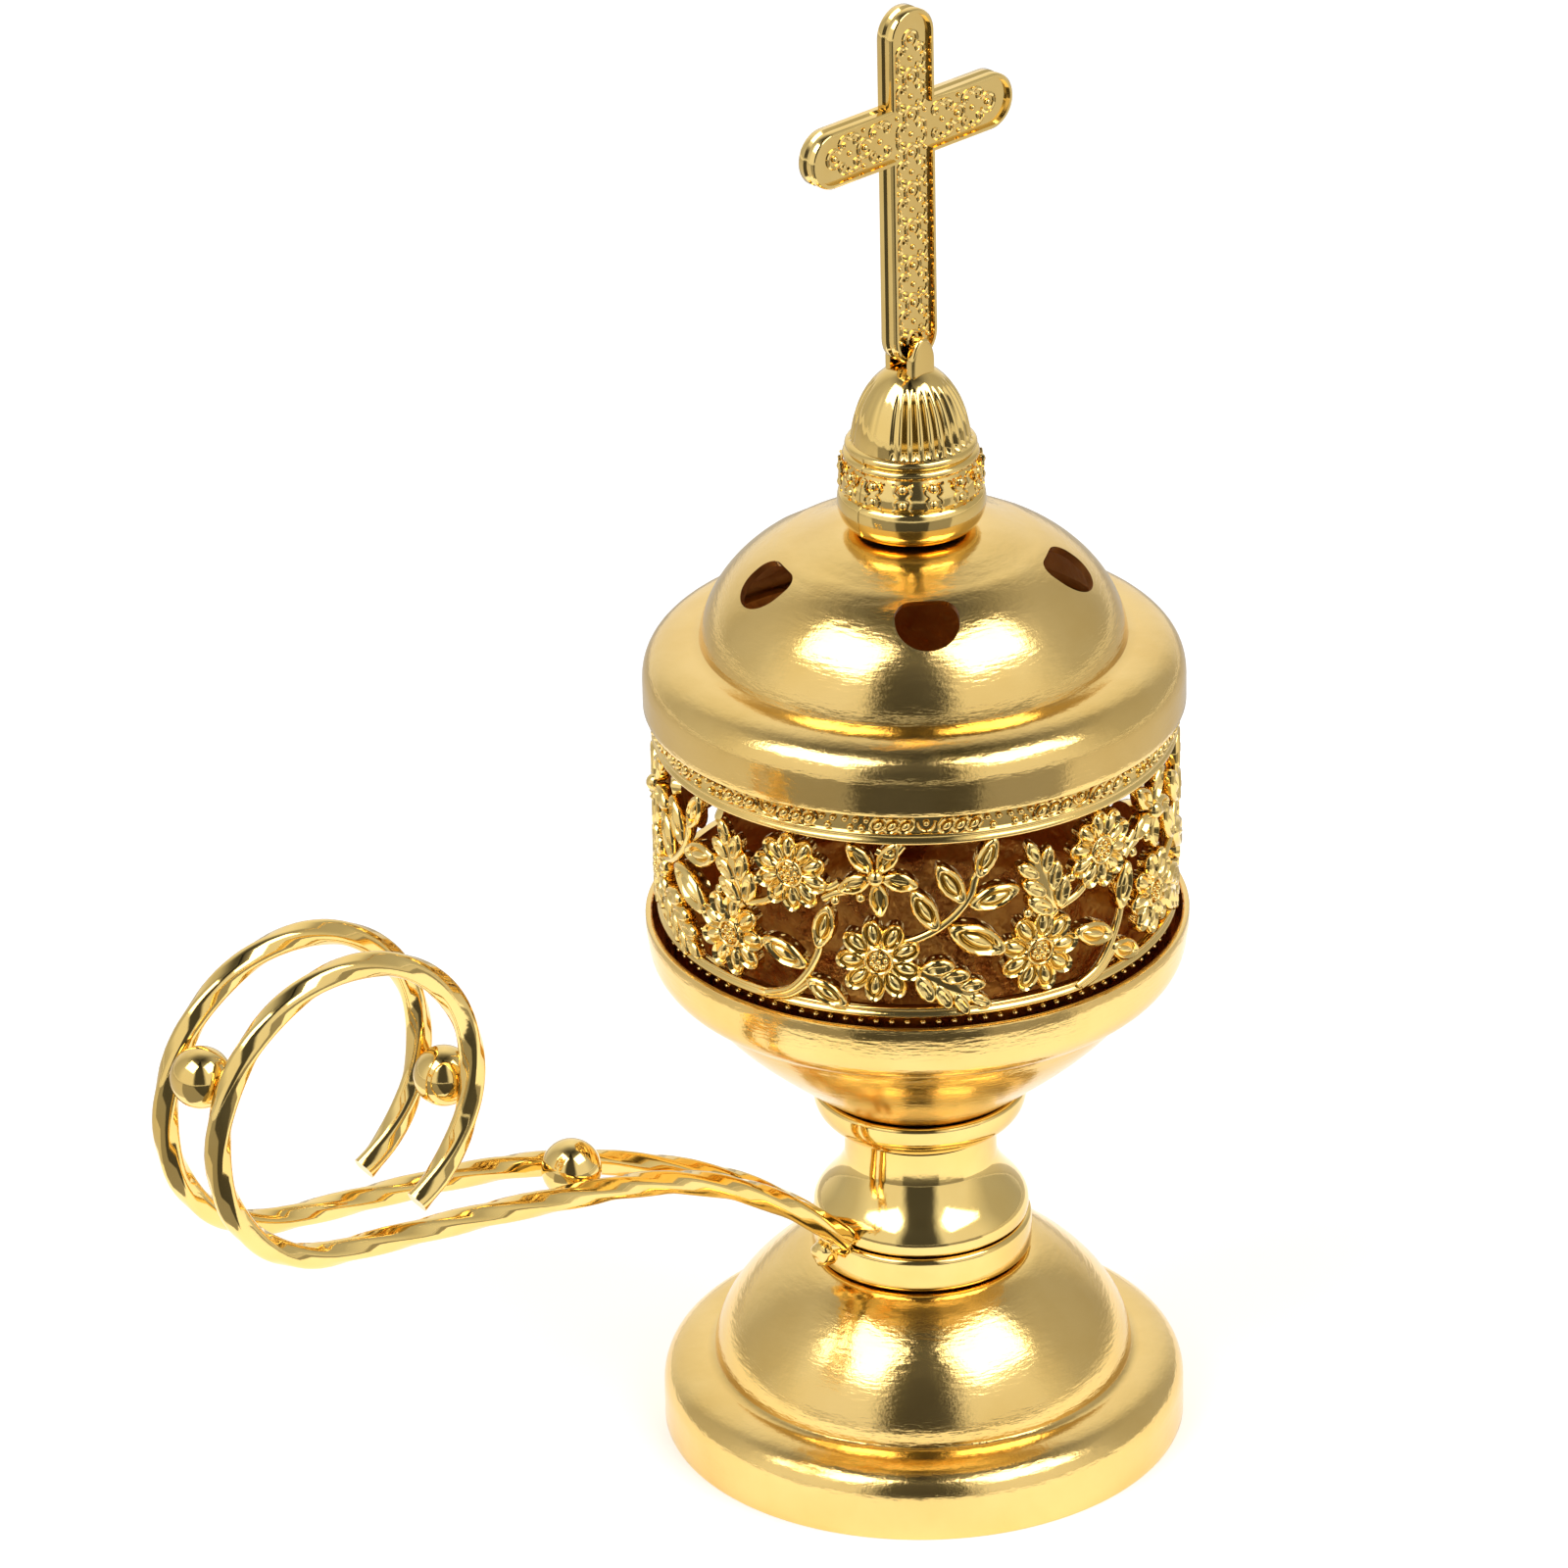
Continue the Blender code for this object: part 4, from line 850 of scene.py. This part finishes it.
for side in (-1, 1):
    lug = bmesh.new()
    shoulder = lug_foot + (lug_top - lug_foot) * 0.45
    flank = [(lug_width / 2, lug_foot)]
    flank += curve((lug_width / 2, shoulder), (lug_width / 2, shoulder + 0.0016),
                   (0.0011, lug_top - 0.0002), (0.0004, lug_top), 10)
    outline = flank + [(-x, z) for x, z in flank[::-1]]
    thickened(lug, outline, lambda x, z: (x, -lug_wall / 2, z), (0, lug_wall, 0))
    outer = [v for v in lug.verts if v.co.y * side > 0]
    edges = [e for e in lug.edges if all(v in outer for v in e.verts)]
    bmesh.ops.bevel(lug, geom=edges, offset=lug_round, offset_type="OFFSET", segments=4, profile=0.5,
                    affect="EDGES", material=-1)
    reach = side * (cross_wall / 2 + 0.0001 + lug_wall / 2)
    stamp(knob, kept(lug), Matrix.Translation((0, reach, 0)))
for side in (-1, 1):
    route = [Vector((side * (r - 0.00005), 0, z)) for r, z in knob_outline[4:dome_start - 2]]
    ring = round_points(seam_radius, seam_radius, 6, 6)
    stamp(knob, kept(swept(route, ring, Vector((0, 1, 0)))))
bmesh.ops.recalc_face_normals(knob, faces=knob.faces)
lid_place = Matrix.Translation((axis_x, 0, 0)) @ Matrix.Rotation(lid_turn, 4, "Z")
bmesh.ops.transform(knob, matrix=lid_place, verts=knob.verts)
set_down("finial_casting", knob, [bright], "lid", ["finial"], crease=50)

# ---------------------------------------------------------------- cross
# A flat cast cross with round ends. Each face has a raised rim round a sunk field filled with
# ringed dots and small scrolls, and a shallow groove runs round its edge.
cross_low, cross_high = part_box("cross")
cross_base = cross_low.z
cross_height = cross_high.z - cross_low.z
cross_span = 0.0366
cross_bar = 0.0078
arm_height = cross_height - 0.0170
cross_rim = 0.00060
field_depth = 0.00060
field_bank = 0.00012          # the slope down from the rim to the sunk field
cross_chamfer = 0.00022
groove_half = 0.00045         # half width of the groove round the edge, at its mouth
groove_floor = 0.00015        # and at its bottom
groove_depth = 0.00035
end_points = 25
half = cross_bar / 2
ends = [((cross_span / 2 - half, arm_height), -90), ((0.0, cross_height - half), 0),
        ((-cross_span / 2 + half, arm_height), 90), ((0.0, half), 180)]
corners = [(x * half, arm_height + z * half) for x, z in ((1, 1), (-1, 1), (-1, -1), (1, -1))]


def drawn_in(inset):
    """The cross's outline, moved inwards by the given amount."""
    moved = []
    for (centre, start), (x, z) in zip(ends, corners):
        moved += arc(centre, half - inset, start, start + 180, end_points)
        moved.append((math.copysign(half - inset, x),
                      arm_height + math.copysign(half - inset, z - arm_height)))
    return moved


cross = bmesh.new()
rim = [cross.verts.new((x, -cross_wall / 2, z)) for x, z in drawn_in(0.0)]
loop = list(cross.faces.new(rim).edges)
edge_steps = [(cross_chamfer, 0.0), (0.0, cross_chamfer), (0.0, cross_wall / 2 - groove_half),
              (groove_depth, cross_wall / 2 - groove_floor), (groove_depth, cross_wall / 2 + groove_floor),
              (0.0, cross_wall / 2 + groove_half), (0.0, cross_wall - cross_chamfer),
              (cross_chamfer, cross_wall)]
for step, (inset, depth) in enumerate(edge_steps):
    if step:
        made, loop = extruded(cross, loop)
        made = set(made)
        rim = [next(e.other_vert(v) for e in v.link_edges if e.other_vert(v) in made and e not in loop)
               for v in rim]
    for vert, (x, z) in zip(rim, drawn_in(inset)):
        vert.co = (x, depth - cross_wall / 2, z)
bmesh.ops.contextual_create(cross, geom=loop)
bmesh.ops.recalc_face_normals(cross, faces=cross.faces)
for side in (-1, 1):
    for thickness, depth in ((cross_rim - cross_chamfer, 0.0), (field_bank, -field_depth)):
        flat = [f for f in cross.faces if f.normal.y * side > 0.99 and len(f.verts) > 4]
        bmesh.ops.inset_region(cross, faces=flat, thickness=thickness, depth=depth,
                               use_even_offset=True)
cross = kept(cross)

boss = kept(ball(0.00052))
halo = kept(flat_tube(arc((0, 0), 0.00122, -60, 240, 11), 0.00054, 6, steps=3))
curl_size = 0.00112
curl = [(0.1, -1.25), (0.55, -0.60), (0.45, 0.15), (-0.10, 0.62), (-0.70, 0.42), (-0.62, -0.15),
        (-0.18, -0.05)]
curl = kept(flat_tube([(u * curl_size, v * curl_size) for u, v in curl], 0.00052, 6, steps=3))
field = bmesh.new()
relief_pitch = 0.0056


def relief_row(start, end, first):
    """Ringed dots along one bar of the cross, with four curls and a few seeds round each gap."""
    run = Vector(end) - Vector(start)
    turn = math.atan2(-run.x, run.y)
    count = max(round(run.length / relief_pitch), 1)
    pitch = run.length / count
    for i in range(count + 1):
        point = Vector(start) + run * (i / count)
        place = Matrix.Translation((point.x, point.y, 0)) @ Matrix.Rotation(turn, 4, "Z")
        if i >= first:
            stamp(field, boss, place)
            stamp(field, halo, place)
            for across in (-0.0025, 0.0025):
                if i < count:
                    stamp(field, boss, place @ flat_place(across, 0.0002, size=0.7))
        if i == count:
            continue
        middle = place @ Matrix.Translation((0, pitch / 2, 0))
        stamp(field, boss, middle @ Matrix.Scale(0.8, 4))
        for across in (-1, 1):
            for ahead in (-1, 1):
                flip = Matrix.Diagonal((across, ahead, 1.0, 1.0))
                stamp(field, curl, middle @ flip @ flat_place(0.0019, 0.0011))
            stamp(field, boss, middle @ flat_place(across * 0.0026, 0, size=0.55))


relief_row((0, 0.0032), (0, cross_height - half - 0.0004), 0)
relief_row((half - 0.0010, arm_height), (cross_span / 2 - half - 0.0004, arm_height), 1)
relief_row((-half + 0.0010, arm_height), (-cross_span / 2 + half + 0.0004, arm_height), 1)
bmesh.ops.recalc_face_normals(field, faces=field.faces)
field = kept(field)
whole_cross = bmesh.new()
stamp(whole_cross, cross)
for side in (-1, 1):
    facing = Matrix.Translation((0, side * (cross_wall / 2 - field_depth), 0))
    stamp(whole_cross, field, facing @ Matrix.Rotation(math.pi / 2, 4, "X"))
bmesh.ops.recalc_face_normals(whole_cross, faces=whole_cross.faces)
cross_place = lid_place @ Matrix.Translation((0, 0, cross_base))
bmesh.ops.transform(whole_cross, matrix=cross_place, verts=whole_cross.verts)
set_down("cross_casting", whole_cross, [bright], "lid", ["cross"], crease=45)

# ---------------------------------------------------------------- floor, light and camera
# A plain white floor under two soft boxes, one to each side at the front. The room is pale, apart
# from a dark gap between the boxes and a dark ceiling, which the metal reflects.
floor_white = 0.86
floor_glow = 0.32


def laid_sheet(name, bm, colour, roughness):
    """A flat sheet of one plain matt colour."""
    matt = bpy.data.materials.new(name)
    matt.use_nodes = True
    shader = matt.node_tree.nodes["Principled BSDF"]
    shader.inputs["Base Color"].default_value = (*colour, 1.0)
    shader.inputs["Roughness"].default_value = roughness
    mesh = bpy.data.meshes.new(name)
    bm.to_mesh(mesh)
    bm.free()
    mesh.materials.append(matt)
    return linked(name, mesh), shader


bm = bmesh.new()
bmesh.ops.create_circle(bm, cap_ends=True, segments=64, radius=4.0)
floor, floor_shader = laid_sheet("floor", bm, (floor_white,) * 3, roughness=0.6)
floor_shader.inputs["Emission Color"].default_value = (1.0, 1.0, 1.0, 1.0)
floor_shader.inputs["Emission Strength"].default_value = floor_glow

view_turn = math.radians(-39.0)
view_rise = math.radians(30.66)
view_roll = math.radians(-0.76)
view_distance = 1.168
subject = Vector((axis_x, 0.0, 0.0))


def outward_to(turn, rise):
    """The way outwards from the censer, at a turn round it and a rise above the floor."""
    return Vector((math.sin(turn) * math.cos(rise), -math.cos(turn) * math.cos(rise), math.sin(rise)))


back = outward_to(view_turn, view_rise)
right = Vector((math.cos(view_turn), math.sin(view_turn), 0.0))
upward = back.cross(right)
rolled_right = math.cos(view_roll) * right + math.sin(view_roll) * upward
rolled_up = math.cos(view_roll) * upward - math.sin(view_roll) * right
view_aside = (0.01702, -0.07532)   # the view passes beside the foot's middle by these slopes
lens = 189.1
aside = Vector((*view_aside, 1.0)).normalized()
swing = Vector((0, 0, 1)).rotation_difference(aside).to_matrix()
axes = swing @ Matrix((rolled_right, rolled_up, -back))
camera_data = bpy.data.cameras.new("camera")
camera_data.sensor_width = 36.0
camera_data.lens = lens
camera_data.clip_start = 0.05
camera = linked("camera", camera_data)
turned = Matrix((axes[0], axes[1], -axes[2])).transposed().to_4x4()
camera.matrix_world = Matrix.Translation(subject + back * view_distance) @ turned
bpy.context.scene.camera = camera


def studio_box(name, turn, rise, distance, width, height, watts):
    """A soft box that faces the censer, at a turn from the view and a rise above the floor."""
    data = bpy.data.lights.new(name, "AREA")
    data.shape = "RECTANGLE"
    data.size = width
    data.size_y = height
    data.energy = watts
    made = linked(name, data)
    towards = outward_to(view_turn + math.radians(turn), math.radians(rise))
    made.location = Vector((axis_x, 0, box_aim)) + towards * distance
    made.rotation_euler = towards.to_track_quat("Z", "Y").to_euler()


box_aim = 0.09
box_distance = 1.2
box_width = 0.78
box_height = 0.62
box_watts = 6.4
box_rise = 52
studio_box("box_left", -54, box_rise, box_distance, box_width, box_height, box_watts)
studio_box("box_right", 56, box_rise, box_distance, box_width, box_height, box_watts)

# Grey and dark cards lie on the floor, out of view, and only the metal reflects them. The darker
# ones lie higher, each over the one before it.
card_far = 1.3
card_step = 0.001
for name, near, spread, shade in (("card_all_round", 0.19, 179.9, 0.60), ("card_wide", 0.150, 62.0, 0.26),
                                  ("card_front", 0.140, 25.0, 0.03)):
    lift = card_step * (1.5 - shade)
    bm = bmesh.new()
    bm.edges.new((bm.verts.new((0, -near, lift)), bm.verts.new((0, -card_far, lift))))
    bmesh.ops.rotate(bm, verts=bm.verts, cent=(0, 0, 0),
                     matrix=Matrix.Rotation(view_turn - math.radians(spread), 3, "Z"))
    bmesh.ops.spin(bm, geom=bm.verts[:] + bm.edges[:], cent=(0, 0, 0), axis=(0, 0, 1), dvec=(0, 0, 0),
                   angle=math.radians(2 * spread), steps=36, use_merge=False)
    bmesh.ops.translate(bm, verts=bm.verts, vec=(axis_x, 0, 0))
    card, _ = laid_sheet(name, bm, (shade, shade * 0.97, shade * 0.93), roughness=0.8)
    card.visible_camera = False
    card.visible_diffuse = False
    card.visible_shadow = False

world = bpy.data.worlds.new("studio")
bpy.context.scene.world = world
world.use_nodes = True
world_nodes = world.node_tree.nodes
world_links = world.node_tree.links


def fed(kind, source, socket):
    """A node of the room's light, with one input joined to what feeds it."""
    made = world_nodes.new("ShaderNode" + kind)
    world_links.new(source, made.inputs[socket])
    return made


def grey_ramp(source, stops):
    """A ramp of grey levels."""
    made = fed("ValToRGB", source, "Fac")
    while len(made.color_ramp.elements) < len(stops):
        made.color_ramp.elements.new(0.5)
    for element, (position, level) in zip(made.color_ramp.elements, stops):
        element.position = position
        element.color = (level, level, level, 1.0)
    return made.outputs["Color"]


heading = world_nodes.new("ShaderNodeTexCoord")
faced = fed("Mapping", heading.outputs["Generated"], "Vector")
faced.inputs["Rotation"].default_value = (0.0, 0.0, -view_turn)
parts = fed("SeparateXYZ", faced.outputs["Vector"], "Vector").outputs
flipped = fed("Math", parts["Y"], 0)
flipped.operation = "MULTIPLY"
flipped.inputs[1].default_value = -1.0
bearing = fed("Math", parts["X"], 0)
bearing.operation = "ARCTAN2"
world_links.new(flipped.outputs["Value"], bearing.inputs[1])
share = fed("MapRange", bearing.outputs["Value"], "Value")
share.inputs["From Min"].default_value = -math.pi
share.inputs["From Max"].default_value = math.pi
rise_share = fed("MapRange", parts["Z"], "Value")
rise_share.inputs["From Min"].default_value = -1.0
lit = world_nodes.new("ShaderNodeMix")
lit.data_type = "RGBA"
lit.blend_type = "MULTIPLY"
lit.inputs["Factor"].default_value = 1.0
walls = grey_ramp(share.outputs["Result"],
                  [(0.0, 1.0), (0.10, 0.80), (0.16, 0.50), (0.24, 0.60), (0.30, 0.90), (0.424, 0.90),
                   (0.448, 0.07), (0.542, 0.07), (0.568, 0.90), (0.68, 0.88), (0.76, 0.50),
                   (0.88, 0.45), (0.94, 0.85), (1.0, 1.0)])
ceiling = grey_ramp(rise_share.outputs["Result"],
                    [(0.0, 0.9), (0.5, 1.0), (0.86, 1.0), (0.92, 0.75), (0.97, 0.30), (1.0, 0.08)])
world_links.new(walls, lit.inputs["A"])
world_links.new(ceiling, lit.inputs["B"])
world_links.new(lit.outputs["Result"], world_nodes["Background"].inputs["Color"])
world_nodes["Background"].inputs["Strength"].default_value = 1.0
bpy.context.scene.view_settings.view_transform = "Standard"
